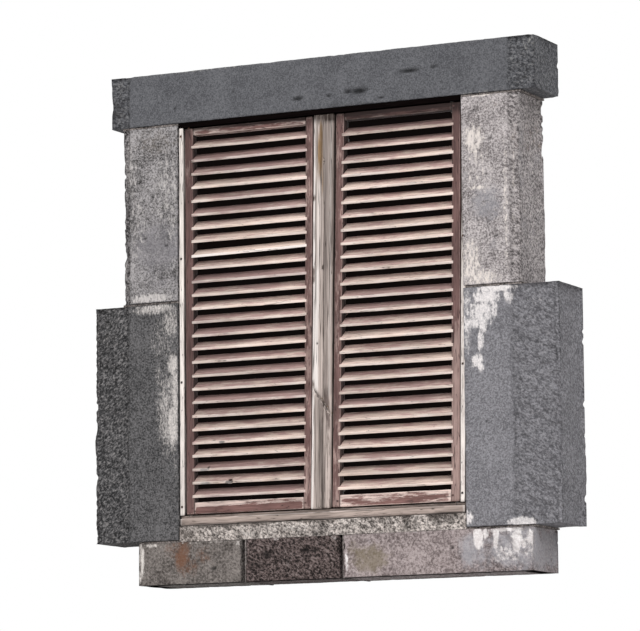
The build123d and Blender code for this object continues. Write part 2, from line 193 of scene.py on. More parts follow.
# The strongest of soft spots, each (x, z, half width, half height, strength) in millimetres and percent:
# strength times exp(-far ^ 1.5), where far is the squared distance in half sizes
def spots(points, places):
    total = np.zeros(len(points))
    for *place, strength in places:
        x, z, halfWidth, halfHeight = (v / 1000 for v in place)
        far = ((points[:, 0] - x) / halfWidth) ** 2 + ((points[:, 2] - z) / halfHeight) ** 2
        total = np.maximum(total, strength / 100 * np.exp(-far ** 1.5))
    return np.clip(total, 0, 1)


# Shader nodes
def node(tree, kind, sockets=None, **settings):
    made = tree.nodes.new(kind)
    for key, value in settings.items():
        setattr(made, key, value)
    for key, value in (sockets or {}).items():
        if isinstance(value, bpy.types.NodeSocket):
            tree.links.new(value, made.inputs[key])
        else:
            made.inputs[key].default_value = value
    return made


def mixColor(tree, share, first, second, blend="MIX"):
    first, second = (v if isinstance(v, bpy.types.NodeSocket) else (*v, 1) for v in (first, second))
    sockets = {0: share, 6: first, 7: second}
    return node(tree, "ShaderNodeMix", sockets, data_type="RGBA", blend_type=blend).outputs[2]


def mixValue(tree, share, first, second):
    return node(tree, "ShaderNodeMix", {0: share, 2: first, 3: second}, data_type="FLOAT").outputs[0]


def calc(tree, operation, first, second=0.0):
    return node(tree, "ShaderNodeMath", {0: first, 1: second}, operation=operation).outputs[0]


def times(tree, first, second):
    return calc(tree, "MULTIPLY", first, second)


def plus(tree, first, second):
    return calc(tree, "ADD", first, second)


def spread(tree, value, low, high, newLow=0.0, newHigh=1.0, kind="SMOOTHSTEP"):
    sockets = {0: value, 1: low, 2: high, 3: newLow, 4: newHigh}
    return node(tree, "ShaderNodeMapRange", sockets, interpolation_type=kind).outputs[0]


def noise(tree, where, scale, detail, roughness=0.5, distortion=0.0):
    sockets = {"Vector": where, "Scale": scale, "Detail": detail, "Roughness": roughness,
               "Distortion": distortion}
    return node(tree, "ShaderNodeTexNoise", sockets).outputs[0]


def stretched(tree, where, axis, share):
    scale = [1.0, 1.0, 1.0]
    scale[axis] = share
    return node(tree, "ShaderNodeMapping", {"Vector": where, "Scale": scale}).outputs[0]


def fieldValue(tree, label):
    return node(tree, "ShaderNodeAttribute", attribute_name=label).outputs["Fac"]


# Every group takes a vector and some numbers, and gives numbers
def newGroup(name, inputs, outputs):
    tree = bpy.data.node_groups.new(name, "ShaderNodeTree")
    tree.interface.new_socket("Vector", in_out="INPUT", socket_type="NodeSocketVector")
    for label, value in inputs.items():
        socket = tree.interface.new_socket(label, in_out="INPUT", socket_type="NodeSocketFloat")
        socket.default_value = value
    for label in outputs:
        tree.interface.new_socket(label, in_out="OUTPUT", socket_type="NodeSocketFloat")
    return tree, tree.nodes.new("NodeGroupInput").outputs, tree.nodes.new("NodeGroupOutput").inputs


# Stone grain: broad patches under fine speckle
def makeStoneGrain():
    tree, given, result = newGroup("stoneGrain", {"Scale": 120.0, "Patches": 0.4}, ("Tone", "Height"))
    fine = noise(tree, given["Vector"], given["Scale"], 5.0, 0.7)
    broad = noise(tree, given["Vector"], 9.0, 4.0, 0.6)
    coarse = noise(tree, given["Vector"], times(tree, given["Scale"], 0.42), 2.0)
    blend = mixValue(tree, given["Patches"], mixValue(tree, 0.15, fine, coarse), broad)
    tree.links.new(spread(tree, blend, 0.39, 0.61), result["Tone"])
    tree.links.new(fine, result["Height"])
    return tree


# Small open pits: some cells of a cell pattern are dark in the middle, as painted shade inside the pits
def makePits():
    tree, given, result = newGroup("pits", {"Scale": 70.0, "Amount": 0.3, "Radius": 0.25}, ("Mask",))
    cells = node(tree, "ShaderNodeTexVoronoi", {"Vector": given["Vector"], "Scale": given["Scale"]}).outputs
    edge = times(tree, given["Radius"], 1.6)
    hole = spread(tree, cells["Distance"], given["Radius"], edge, 1.0, 0.0)
    chance = node(tree, "ShaderNodeSeparateColor", {0: cells["Color"]}).outputs[0]
    chosen = calc(tree, "LESS_THAN", chance, given["Amount"])
    tree.links.new(times(tree, hole, chosen), result["Mask"])
    return tree


# Patches that grow with an amount: where noise and amount together pass a threshold
def makePatches():
    tree, given, result = newGroup("patches", {"Scale": 20.0, "Amount": 0.0, "Softness": 0.12}, ("Mask",))
    threshold = 0.9
    cloud = noise(tree, given["Vector"], given["Scale"], 6.0, 0.75)
    contrast = spread(tree, cloud, 0.25, 0.75, 0.0, threshold, "LINEAR")
    reach = plus(tree, contrast, given["Amount"])
    top = plus(tree, threshold, given["Softness"])
    tree.links.new(spread(tree, reach, threshold, top), result["Mask"])
    return tree


# Timber fibres along the stretched axis, with fine dark drying cracks
def makeWoodGrain():
    tree, given, result = newGroup("woodGrain", {"Scale": 260.0, "Cracks": 0.3}, ("Tone", "Height", "Crack"))
    fibre = noise(tree, given["Vector"], given["Scale"], 4.0, 0.6, 0.4)
    broad = noise(tree, given["Vector"], 45.0, 3.0)
    tone = plus(tree, times(tree, fibre, 0.55), times(tree, broad, 0.45))
    line = noise(tree, given["Vector"], 110.0, 1.0, 0.5, 0.2)
    gap = calc(tree, "ABSOLUTE", calc(tree, "SUBTRACT", line, 0.5))
    crack = spread(tree, gap, 0.0, times(tree, given["Cracks"], 0.05), 1.0, 0.0)
    tree.links.new(spread(tree, tone, 0.32, 0.68), result["Tone"])
    tree.links.new(calc(tree, "SUBTRACT", fibre, crack), result["Height"])
    tree.links.new(crack, result["Crack"])
    return tree


stoneGrain = makeStoneGrain()
pitPattern = makePits()
patchPattern = makePatches()
woodGrain = makeWoodGrain()


def useGroup(tree, group, sockets):
    return node(tree, "ShaderNodeGroup", sockets, node_tree=group).outputs


def stoneGrainOf(tree, where, scale, patches):
    return useGroup(tree, stoneGrain, {"Vector": where, "Scale": scale, "Patches": patches})


def patchMask(tree, where, scale, amount, softness):
    sockets = {"Vector": where, "Scale": scale, "Amount": amount, "Softness": softness}
    return useGroup(tree, patchPattern, sockets)["Mask"]


def startMaterial(name):
    material = bpy.data.materials.new(name)
    material.use_nodes = True
    tree = material.node_tree
    return material, tree, tree.nodes["Principled BSDF"]


def objectPlace(tree):
    return node(tree, "ShaderNodeTexCoord").outputs["Object"]


def linkSurface(tree, shader, color, roughness, height, strength, distance):
    bump = node(tree, "ShaderNodeBump", {"Strength": strength, "Distance": distance, "Height": height})
    tree.links.new(color, shader.inputs["Base Color"])
    tree.links.new(roughness, shader.inputs["Roughness"])
    tree.links.new(bump.outputs[0], shader.inputs["Normal"])


# The colour that lies a share of the way from one colour to another
def between(first, second, share):
    return tuple(a + (b - a) * share for a, b in zip(first, second))


black = (0.0, 0.0, 0.0)

# Stone finishes. Colours are linear. "speckle" is the grain's scale per metre, "strokes" the slant of the
# tool marks in degrees, and "limeGrain" the scale and softness of the lime.
commonStone = {
    "patches": 0.3, "pits": 0.3, "pitScale": 150.0, "pitRadius": 0.17, "bump": 0.8, "toolHollowShade": 0.6,
    "toolRidgeDustAndHighlight": 0.3, "strokes": 30.0, "strokeScale": 140.0, "limeGrain": (90.0, 0.36), "gloss": 0.25,
}
stoneFinishes = {
    "lintelStone": {
        "dark": (0.072, 0.073, 0.081), "light": (0.163, 0.165, 0.178), "lime": (0.42, 0.41, 0.39),
        "stain": (0.035, 0.03, 0.027), "speckle": 210.0, "patches": 0.2, "bump": 0.6, "toolHollowShade": 0.85,
        "toolRidgeDustAndHighlight": 0.6, "strokes": 6.0},
    "leftPaleStone": {
        "dark": (0.05, 0.047, 0.046), "light": (0.47, 0.445, 0.45), "lime": (0.66, 0.62, 0.6),
        "stain": (0.17, 0.145, 0.12), "cool": (0.215, 0.205, 0.22), "speckle": 175.0, "pits": 0.55,
        "bump": 0.9},
    "rightPaleStone": {
        "dark": (0.135, 0.12, 0.12), "light": (0.67, 0.615, 0.615), "lime": (0.9, 0.82, 0.76),
        "stain": (0.4, 0.3, 0.22), "cool": (0.29, 0.285, 0.31), "speckle": 175.0, "pits": 0.5, "bump": 0.9,
        "toolHollowShade": 0.5},
    "leftDarkStone": {
        "dark": (0.026, 0.026, 0.027), "light": (0.165, 0.16, 0.164), "lime": (0.74, 0.69, 0.66),
        "stain": (0.022, 0.022, 0.022), "speckle": 170.0, "patches": 0.18, "bump": 0.7, "toolHollowShade": 0.7,
        "toolRidgeDustAndHighlight": 0.45, "strokes": -38.0, "limeGrain": (170.0, 0.6)},
    "rightDarkStone": {
        "dark": (0.128, 0.125, 0.136), "light": (0.308, 0.302, 0.324), "lime": (0.92, 0.87, 0.86),
        "stain": (0.08, 0.075, 0.08), "speckle": 170.0, "patches": 0.15, "pits": 0.25, "toolHollowShade": 0.35,
        "toolRidgeDustAndHighlight": 0.15},
    "greySillStone": {
        "dark": (0.05, 0.042, 0.038), "light": (0.29, 0.258, 0.24), "lime": (0.8, 0.75, 0.71),
        "stain": (0.2, 0.095, 0.055), "speckle": 120.0, "toolRidgeDustAndHighlight": 0.4},
    "brownSillStone": {
        "dark": (0.01, 0.007, 0.006), "light": (0.215, 0.16, 0.152), "lime": (0.55, 0.5, 0.48),
        "stain": (0.012, 0.009, 0.009), "speckle": 70.0, "bump": 1.0, "toolHollowShade": 0.9, "toolRidgeDustAndHighlight": 0.5},
    "pinkSillStone": {
        "dark": (0.13, 0.102, 0.1), "light": (0.47, 0.4, 0.395), "lime": (0.95, 0.91, 0.9),
        "stain": (0.2, 0.165, 0.11), "cool": (0.41, 0.405, 0.435), "speckle": 130.0, "patches": 0.25,
        "pits": 0.25, "bump": 0.7, "toolHollowShade": 0.5},
    "jointMortar": {
        "dark": (0.03, 0.026, 0.024), "light": (0.42, 0.37, 0.35), "lime": (0.8, 0.74, 0.7),
        "stain": (0.08, 0.065, 0.055), "speckle": 140.0, "patches": 0.2, "pits": 0.4, "bump": 1.0,
        "toolHollowShade": 0.0, "toolRidgeDustAndHighlight": 0.0},
    "limeMortar": {
        "dark": (0.055, 0.045, 0.04), "light": (1.0, 0.9, 0.84), "lime": (0.9, 0.84, 0.8),
        "stain": (0.08, 0.065, 0.055), "speckle": 110.0, "patches": 0.12, "pits": 0.4, "bump": 1.2,
        "toolHollowShade": 0.8, "toolRidgeDustAndHighlight": 0.4},
}
stoneFinishes = {name: {**commonStone, **finish} for name, finish in stoneFinishes.items()}


def makeStoneFinish(name, finish):
    material, tree, shader = startMaterial(name)
    where = objectPlace(tree)
    dark, light, limeColor = finish["dark"], finish["light"], finish["lime"]
    grain = stoneGrainOf(tree, where, finish["speckle"], finish["patches"])
    tail = fieldValue(tree, "tail")
    slant = math.radians(finish["strokes"])
    sockets = {"Vector": where, "Rotation": (0.0, slant, 0.0), "Scale": (1.5, 1.0, 1.0)}
    slanting = node(tree, "ShaderNodeMapping", sockets, vector_type="TEXTURE").outputs[0]
    tooled = stoneGrainOf(tree, slanting, finish["strokeScale"], 0.04)
    tone = mixValue(tree, times(tree, tail, 0.75), grain["Tone"], tooled["Tone"])
    color = mixColor(tree, tone, dark, light)
    # The tail's tool marks: painted shade in the hollows, and on the ridges a painted highlight mixed with
    # pale stone dust
    marks = (("toolHollowShade", (0.1, 0.55, 1.0, 0.0), between(dark, black, 0.5)),
             ("toolRidgeDustAndHighlight", (0.75, 1.0), between(light, limeColor, 0.4)))
    for label, limits, tint in marks:
        mark = times(tree, spread(tree, tooled["Tone"], *limits), tail)
        color = mixColor(tree, times(tree, mark, finish[label]), color, tint)
    sockets = {"Vector": where, "Scale": finish["pitScale"], "Amount": finish["pits"],
               "Radius": finish["pitRadius"]}
    pits = useGroup(tree, pitPattern, sockets)["Mask"]
    # Painted shade inside the pits
    color = mixColor(tree, times(tree, pits, 0.7), color, between(dark, black, 0.4))
    # Patches: strength, scale, softness, and how much of the colour below still shows
    patches = (("stain", 1.3, 40.0, 0.75, 0.25), ("cool", 1.0, 30.0, 0.7, 0.3))
    for label, strength, scale, softness, kept in patches:
        mask = patchMask(tree, where, scale, times(tree, fieldValue(tree, label), strength), softness)
        color = mixColor(tree, mask, color, mixColor(tree, kept, finish.get(label, dark), color))
    limeScale, limeSoftness = finish["limeGrain"]
    amount = times(tree, fieldValue(tree, "lime"), 1.12)
    lime = patchMask(tree, stretched(tree, where, 2, 0.45), limeScale, amount, limeSoftness)
    limeTone = mixColor(tree, grain["Tone"], between(limeColor, light, 0.45), limeColor)
    color = mixColor(tree, lime, color, limeTone)
    # Chips, holes and the step at the tail's margin are darkened towards black as painted shade
    color = mixColor(tree, fieldValue(tree, "hollowShade"), color, mixColor(tree, 0.88, color, black))
    height = calc(tree, "SUBTRACT", grain["Height"], times(tree, pits, 0.6))
    height = plus(tree, height, times(tree, lime, 0.2))
    height = plus(tree, height, times(tree, times(tree, tooled["Height"], tail), 2.5))
    roughness = spread(tree, grain["Tone"], 0.0, 1.0, 0.95, 0.8)
    linkSurface(tree, shader, color, roughness, height, finish["bump"], 0.004)
    shader.inputs["Specular IOR Level"].default_value = finish["gloss"]
    return material


stoneMaterials = {name: makeStoneFinish(name, finish) for name, finish in stoneFinishes.items()}

# Timber finishes. "along" is the axis of the grain, and "stretch" how far the grain is drawn out along it.
# Paint shows where the "bare" amount is low.
commonWood = {"along": 0, "stretch": 0.05, "cracks": 0.3, "gloss": 0.25, "grainScale": 320.0,
              "bleachAndHighlightColor": (0.93, 0.86, 0.82)}
woodFinishes = {
    "leafPaintUpright": {
        "paint": (0.14, 0.08, 0.074), "bare": (0.31, 0.215, 0.195), "dark": (0.022, 0.012, 0.011),
        "stain": (0.03, 0.018, 0.016), "along": 2, "bareAmount": 0.28, "cracks": 0.35},
    "leafPaintLevel": {
        "paint": (0.185, 0.1, 0.09), "bare": (0.56, 0.44, 0.4), "dark": (0.02, 0.011, 0.01),
        "stain": (0.03, 0.018, 0.016), "bareAmount": 0.38},
    "slatPaint": {
        "paint": (0.41, 0.27, 0.25), "bare": (0.56, 0.445, 0.385), "dark": (0.04, 0.018, 0.015),
        "stain": (0.02, 0.01, 0.009), "bareAmount": 0.45, "cracks": 0.15},
    "frameTimber": {
        "paint": (0.84, 0.77, 0.72), "bare": (0.46, 0.38, 0.34), "dark": (0.04, 0.03, 0.026),
        "stain": (0.2, 0.15, 0.12), "along": 2, "bareAmount": 0.22},
    "sillTimber": {
        "paint": (0.44, 0.355, 0.315), "bare": (0.2, 0.155, 0.135), "dark": (0.03, 0.022, 0.018),
        "stain": (0.2, 0.15, 0.12), "stretch": 0.04, "bareAmount": 0.3, "cracks": 0.35},
    # The frame head under the lintel is nearly black with no gloss: painted shade
    "headInPaintedShade": {
        "paint": (0.006, 0.004, 0.004), "bare": (0.012, 0.008, 0.008), "dark": (0.003, 0.002, 0.002),
        "stain": (0.005, 0.004, 0.004), "bareAmount": 0.3, "gloss": 0.0},
    "postTimber": {
        "paint": (0.5, 0.422, 0.385), "bare": (0.155, 0.12, 0.108), "dark": (0.032, 0.022, 0.018),
        "stain": (0.27, 0.17, 0.085), "along": 2, "stretch": 0.018, "bareAmount": 0.34, "cracks": 0.5},
}


def makeWoodFinish(name, changes):
    finish = {**commonWood, **changes}
    material, tree, shader = startMaterial(name)
    where = objectPlace(tree)
    along = stretched(tree, where, finish["along"], finish["stretch"])
    patchy = stretched(tree, where, finish["along"], finish["stretch"] * 4)
    sockets = {"Vector": along, "Scale": finish["grainScale"], "Cracks": finish["cracks"]}
    grain = useGroup(tree, woodGrain, sockets)
    flaked = patchMask(tree, patchy, 60.0, plus(tree, fieldValue(tree, "bare"), finish["bareAmount"]), 0.25)
    color = mixColor(tree, flaked, finish["paint"], finish["bare"])
    shade = times(tree, spread(tree, grain["Tone"], 0.0, 1.0, 0.72, 1.22),
                  spread(tree, fieldValue(tree, "tone"), -0.2, 1.6, 0.7, 1.45))
    grey = node(tree, "ShaderNodeCombineColor", {0: shade, 1: shade, 2: shade}).outputs[0]
    color = mixColor(tree, 1.0, color, grey, "MULTIPLY")
    stain = patchMask(tree, patchy, 70.0, fieldValue(tree, "stain"), 0.5)
    color = mixColor(tree, stain, color, finish["stain"])
    # Lightening towards the pale colour: bleached timber, and painted highlights along some edges
    color = mixColor(tree, fieldValue(tree, "bleachAndHighlight"), color, finish["bleachAndHighlightColor"])
    color = mixColor(tree, times(tree, grain["Crack"], 0.8), color, finish["dark"])
    # Darkening towards the dark colour: real soil and grime, and painted shade in recesses, in gaps and under
    # the lintel
    shadeAndSoil = times(tree, fieldValue(tree, "shadeAndSoil"), spread(tree, grain["Tone"], 0.0, 1.0, 1.1, 0.8))
    color = mixColor(tree, node(tree, "ShaderNodeClamp", {0: shadeAndSoil}).outputs[0], color, finish["dark"])
    grimeAndShade = patchMask(tree, patchy, 35.0, fieldValue(tree, "grimeAndShade"), 0.4)
    color = mixColor(tree, grimeAndShade, color, mixColor(tree, 0.15, finish["dark"], color))
    roughness = spread(tree, grain["Tone"], 0.0, 1.0, 0.9, 0.68)
    linkSurface(tree, shader, color, roughness, grain["Height"], 0.6, 0.0015)
    shader.inputs["Specular IOR Level"].default_value = finish["gloss"]
    return material


woodMaterials = {name: makeWoodFinish(name, finish) for name, finish in woodFinishes.items()}

# Rusted wrought iron
ironFinish = {"iron": (0.045, 0.042, 0.042), "rust": (0.17, 0.06, 0.028), "paleRust": (0.34, 0.15, 0.07),
              "rustAmount": 0.45, "rustScale": 140.0, "speckle": 500.0}


def makeRustyIron():
    material, tree, shader = startMaterial("rustyIron")
    where = objectPlace(tree)
    rust = patchMask(tree, where, ironFinish["rustScale"], ironFinish["rustAmount"], 0.3)
    grain = stoneGrainOf(tree, where, ironFinish["speckle"], 0.2)
    rustColor = mixColor(tree, grain["Tone"], ironFinish["rust"], ironFinish["paleRust"])
    color = mixColor(tree, rust, ironFinish["iron"], rustColor)
    height = plus(tree, times(tree, rust, 0.6), grain["Height"])
    linkSurface(tree, shader, color, spread(tree, rust, 0.0, 1.0, 0.45, 0.9), height, 0.5, 0.0008)
    tree.links.new(spread(tree, rust, 0.0, 1.0, 0.8, 0.0), shader.inputs["Metallic"])
    return material


rustyIron = makeRustyIron()
print("materials made")

# Stones. "band" is where the dressed face starts and ends in x: past it is the tooled tail. Spots lie on
# the front face. "hollows" are chips and holes, darkened as painted shade: (x, z, half width, half height,
# depth) in millimetres.
stones = {
    "lintel": {
        "finish": "lintelStone", "band": (-0.73, 0.711), "arris": 0.004, "endRough": 0.012, "seed": 11,
        "lime": [(-450, 1787, 400, 8, 52), (200, 1789, 500, 6, 50), (610, 1608, 100, 6, 60),
                 (-780, 1760, 50, 50, 42), (790, 1760, 40, 40, 45)],
        "stain": [(-780, 1680, 70, 120, 50), (770, 1680, 70, 120, 45), (0, 1612, 500, 12, 45)],
        "hollows": [(349, 1707, 40, 6, 9), (160, 1655, 32, 9, 10), (118, 1657, 14, 6, 6),
                    (47, 1650, 10, 4, 4), (440, 1712, 14, 4, 4), (245, 1625, 12, 3, 3),
                    (-70, 1650, 20, 7, 3), (-320, 1700, 6, 4, 3), (-550, 1660, 6, 4, 3)]},
    "left_upper_jamb_stone": {
        "finish": "leftPaleStone", "band": (-0.73, -0.54), "arris": 0.005, "endRough": 0.018, "seed": 21,
        "lime": [(-650, 998, 120, 22, 72), (-730, 1460, 40, 160, 55), (-700, 1280, 50, 200, 46),
                 (-580, 1380, 80, 200, 48), (-560, 1240, 30, 80, 52), (-710, 1120, 20, 140, 42),
                 (-745, 1080, 20, 100, 45)],
        "stain": [(-630, 1550, 120, 80, 55), (-640, 1420, 60, 120, 35), (-620, 1130, 80, 100, 20)],
        "cool": [(-620, 1180, 130, 120, 105), (-600, 1060, 100, 60, 70)],
        "hollows": [(-640, 1355, 6, 6, 6), (-600, 1310, 5, 5, 5), (-670, 1210, 6, 5, 4),
                    (-690, 1410, 5, 5, 4), (-585, 1180, 6, 5, 4)]},
    "right_upper_jamb_stone": {
        "finish": "rightPaleStone", "band": (0.54, 0.711), "arris": 0.005, "endRough": 0.016, "seed": 31,
        "lime": [(615, 1600, 70, 8, 85), (585, 1450, 50, 70, 66), (570, 1030, 50, 120, 62),
                 (610, 980, 90, 40, 62), (600, 1285, 60, 6, 70), (700, 1200, 15, 360, 50),
                 (600, 1360, 80, 140, 42), (725, 1280, 12, 300, 45)],
        "stain": [(600, 1470, 30, 30, 45), (620, 1200, 60, 70, 32), (650, 1560, 60, 50, 35),
                  (735, 1450, 20, 120, 42)],
        "cool": [(630, 1230, 80, 80, 100), (655, 1120, 30, 100, 60), (560, 1340, 20, 40, 60),
                 (660, 1500, 40, 60, 40), (770, 1400, 30, 220, 85), (770, 1120, 30, 120, 75)],
        "hollows": [(645, 1450, 7, 5, 5), (630, 1330, 6, 6, 5), (590, 1550, 5, 5, 4),
                    (665, 1120, 6, 5, 4)]},
    "left_lower_jamb_stone": {
        "finish": "leftDarkStone", "band": (-0.735, -0.54), "arris": 0.004, "endRough": 0.018, "seed": 41,
        "lime": [(-630, 960, 120, 24, 78), (-570, 910, 50, 80, 66), (-560, 760, 30, 50, 88),
                 (-553, 660, 20, 140, 85), (-562, 550, 30, 110, 88), (-580, 600, 60, 200, 66),
                 (-550, 420, 20, 80, 42), (-620, 730, 20, 50, 55), (-810, 620, 70, 300, 30),
                 (-830, 880, 50, 80, 42), (-600, 850, 80, 120, 50)],
        "stain": [(-820, 800, 60, 120, 45), (-800, 450, 60, 150, 40)],
        "hollows": [(-690, 700, 5, 4, 3), (-640, 440, 5, 4, 3)]},
    "right_lower_jamb_stone": {
        "finish": "rightDarkStone", "band": (0.54, 0.711), "arris": 0.004, "endRough": 0.018, "seed": 51,
        "lime": [(660, 943, 85, 14, 95), (625, 915, 60, 30, 85), (605, 870, 60, 42, 78),
                 (575, 835, 40, 30, 66), (610, 830, 26, 45, 80), (603, 770, 14, 55, 74),
                 (590, 705, 28, 30, 82), (600, 685, 16, 28, 78), (705, 910, 22, 28, 72),
                 (655, 880, 16, 45, 62), (555, 890, 25, 80, 55), (552, 830, 20, 140, 62),
                 (635, 860, 40, 50, 60), (545, 185, 30, 30, 72), (740, 160, 60, 22, 95),
                 (800, 900, 50, 40, 36)],
        "stain": [(800, 550, 60, 300, 30), (730, 600, 12, 350, 35)],
        "hollows": [(620, 500, 5, 4, 3), (660, 330, 5, 4, 3)]},
    "left_sill_stone": {
        "finish": "greySillStone", "arris": 0.007, "endRough": 0.01, "seed": 61,
        "lime": [(-680, 90, 14, 75, 85), (-690, 30, 12, 30, 70), (-420, 143, 200, 8, 50),
                 (-300, 135, 20, 14, 66), (-640, 138, 50, 10, 55)],
        "stain": [(-520, 100, 40, 80, 85), (-500, 60, 50, 50, 65), (-560, 120, 40, 40, 60),
                  (-440, 90, 70, 60, 45)],
        "hollows": [(-400, 50, 12, 8, 4)]},
    "middle_sill_stone": {
        "finish": "brownSillStone", "tooled": 0.9, "arris": 0.01, "endRough": 0.01, "seed": 71,
        "lime": [(-160, 142, 16, 10, 70), (-100, 60, 70, 50, 30), (0, 110, 50, 30, 28),
                 (60, 138, 20, 10, 50)],
        "stain": [(-240, 50, 50, 50, 55), (30, 30, 50, 30, 50), (-120, 100, 40, 20, 45)],
        "hollows": [(-200, 90, 20, 12, 6), (-50, 100, 18, 10, 6)]},
    "right_sill_stone": {
        "finish": "pinkSillStone", "band": (-1.0, 0.612), "arris": 0.007, "endRough": 0.012, "seed": 81,
        "lime": [(590, 115, 22, 50, 95), (615, 128, 10, 26, 85), (650, 112, 13, 46, 90),
                 (700, 60, 100, 40, 58), (800, 70, 50, 60, 62), (725, 100, 24, 50, 92),
                 (748, 90, 14, 20, 80), (690, 140, 80, 10, 85), (105, 60, 10, 50, 66),
                 (780, 110, 30, 36, 85), (300, 144, 200, 6, 42)],
        "stain": [(190, 60, 90, 60, 85), (130, 90, 30, 50, 60)],
        "cool": [(740, 80, 180, 100, 110), (570, 70, 70, 80, 105), (220, 130, 100, 30, 40)],
        "hollows": [(493, 86, 7, 6, 10)]},
}
# Sizes in metres. The last six entries are noises: (size, octaves, what is added to the stone's seed).
stoneSurface = {
    "step": 0.006, "frontLines": (0, 0.003, 0.006, 0.01, 0.016, 0.024), "backFrom": 0.04, "backLines": 10,
    "tailSetback": 0.006, "tailDepth": 0.009, "dressedDepth": 0.0012, "lumpDepth": 0.003, "plainTail": 0.2,
    "openingHalf": 0.54, "chips": (0.035, 2, 0), "fine": (0.012, 2, 3), "lumps": (0.022, 2, 5),
    "broad": (0.11, 3, 7), "wander": (0.04, 2, 9), "ragged": (0.17, 4, 13),
}


def stoneNoise(points, label, seed):
    size, octaves, salt = stoneSurface[label]
    return layeredNoise(points, size, octaves, seed + salt)


# A node's box as a shell whose lines lie closer together near the front
def stoneShell(nodeName, values):
    low, high = cadBox(nodeName)
    back = np.linspace(low[1] + values["backFrom"], high[1], values["backLines"])
    depths = np.concatenate((low[1] + np.array(values["frontLines"]), back))
    across, upright = (gridLines(low[i], high[i], values["step"]) for i in (0, 2))
    return boxShell(across, depths, upright)


# A stone is a rounded box shell whose points sink inwards along each axis. On the front, the dressed band
# sinks by fine noise, and the tail by its setback and by lumps and slanting strokes. The ends sink most and
# unevenly, which leaves them ragged. Chips are soft pits at the places given.
def makeStone(name, values):
    seed, band = values["seed"], values.get("band")
    points, faces = stoneShell(name, stoneSurface)
    chips = stoneNoise(points, "chips", seed)
    points, away = roundBox(points, values["arris"] * (0.5 + 2.2 * ramp(chips, 0.55, 0.9)))
    fine, lumps, broad = (stoneNoise(points, label, seed) for label in ("fine", "lumps", "broad"))
    front = 0.004 * broad + stoneSurface["lumpDepth"] * lumps
    tail = np.full(len(points), values.get("tooled", stoneSurface["plainTail"]))
    hollowShade = np.zeros(len(points))
    if band:
        x, y, z = points.T
        slant = math.radians(stoneFinishes[values["finish"]]["strokes"])
        turned = np.stack((x * math.cos(slant) - z * math.sin(slant), y,
                           x * math.sin(slant) + z * math.cos(slant)), 1)
        strokes = layeredNoise(turned, 0.012, 2, seed + 6, (1.8, 1, 1))
        outside = np.maximum(band[0] - x, x - band[1]) + 0.006 * (stoneNoise(points, "wander", seed) - 0.5)
        tail = ramp(outside, -0.002, 0.006)
        # Painted shade along the step between the dressed band and the tail
        hollowShade = 0.3 * bell(outside, 0.006, 0.004) * (-away[:, 1] > 0.5)
        rough = 0.35 * lumps + 0.25 * broad + 0.4 * ramp(strokes, 0.3, 0.7)
        tailSunk = stoneSurface["tailSetback"] + stoneSurface["tailDepth"] * ramp(rough, 0.15, 0.85)
        front = (stoneSurface["dressedDepth"] * fine + 0.002 * broad) * (1 - tail) + tail * tailSunk
    facing = ramp(-away[:, 1], 0.3, 0.9)
    for *place, depth in values["hollows"]:
        chip = spots(points, [(*place, 100)]) * facing
        front = front + depth / 1000 * chip
        hollowShade = np.maximum(hollowShade, chip)
    sideWear = 0.001 + 0.003 * broad
    ends = sideWear + values["endRough"] * ramp(stoneNoise(points, "ragged", seed), 0.3, 0.75) \
        + stoneSurface["lumpDepth"] * lumps
    # The faces that line the opening stay true
    lining = np.abs(np.abs(points[:, 0]) - stoneSurface["openingHalf"]) < 0.02
    lining &= name.endswith("jamb_stone")
    points[:, 0] -= away[:, 0] * np.where(lining, 0.001 + 0.0015 * fine, ends)
    points[:, 1] -= away[:, 1] * np.where(away[:, 1] < 0, front, sideWear)
    points[:, 2] -= away[:, 2] * (0.0005 + 0.0015 * fine)
    fields = {label: spots(points, values.get(label, [])) for label in ("lime", "stain", "cool")}
    fields["lime"] *= 0.3 + 0.7 * facing
    fields["hollowShade"] = hollowShade
    fields["tail"] = np.maximum(tail, 1 - np.abs(away[:, 1]))
    piece = addMesh(name + "_face", points, faces, fields)
    standIn(piece, stoneMaterials[values["finish"]], name, "surround")


for stoneName, stoneValues in stones.items():
    makeStone(stoneName, stoneValues)
print("stones made")

# Mortar bed under the timber sill, with a coarse, crumbling front
mortarValues = {
    "step": 0.005, "frontLines": (0, 0.004, 0.008, 0.013, 0.02, 0.03), "backFrom": 0.05, "backLines": 6,
    "arris": 0.004, "crumble": 0.016, "grit": 0.006, "tail": 0.6,
    "lime": [(-280, 165, 80, 16, 55), (-100, 175, 100, 20, 45), (300, 175, 200, 15, 42)],
    "stain": [(-500, 170, 70, 40, 70), (-300, 198, 500, 6, 50), (300, 198, 300, 5, 45)],
}


# The bed is a rounded box shell whose front sinks by crumbling patches and by grit
def makeMortarBed():
    points, faces = stoneShell("mortar_bed", mortarValues)
    points, away = roundBox(points, mortarValues["arris"])
    grit = layeredNoise(points, 0.01, 2, 5)
    crumble = layeredNoise(points, 0.045, 3, 8)
    front = mortarValues["crumble"] * ramp(crumble, 0.3, 0.8) + mortarValues["grit"] * grit
    points[:, 1] -= away[:, 1] * np.where(away[:, 1] < 0, front, 0.003 * crumble)
    points[:, 0] -= away[:, 0] * 0.002 * grit
    points[:, 2] -= away[:, 2] * 0.001 * grit
    fields = {label: spots(points, mortarValues[label]) for label in ("lime", "stain")}
    # Painted shade in the deepest crumbled hollows of the front
    fields["hollowShade"] = 0.55 * ramp(front, 0.013, 0.021) * (away[:, 1] < -0.3)
    fields["tail"] = np.full(len(points), mortarValues["tail"])
    piece = addMesh("mortar_bed_face", points, faces, fields)
    standIn(piece, stoneMaterials["limeMortar"], "mortar_bed", "surround")


makeMortarBed()
finishNode("mortar_joints", stoneMaterials["jointMortar"])
print("mortar made")

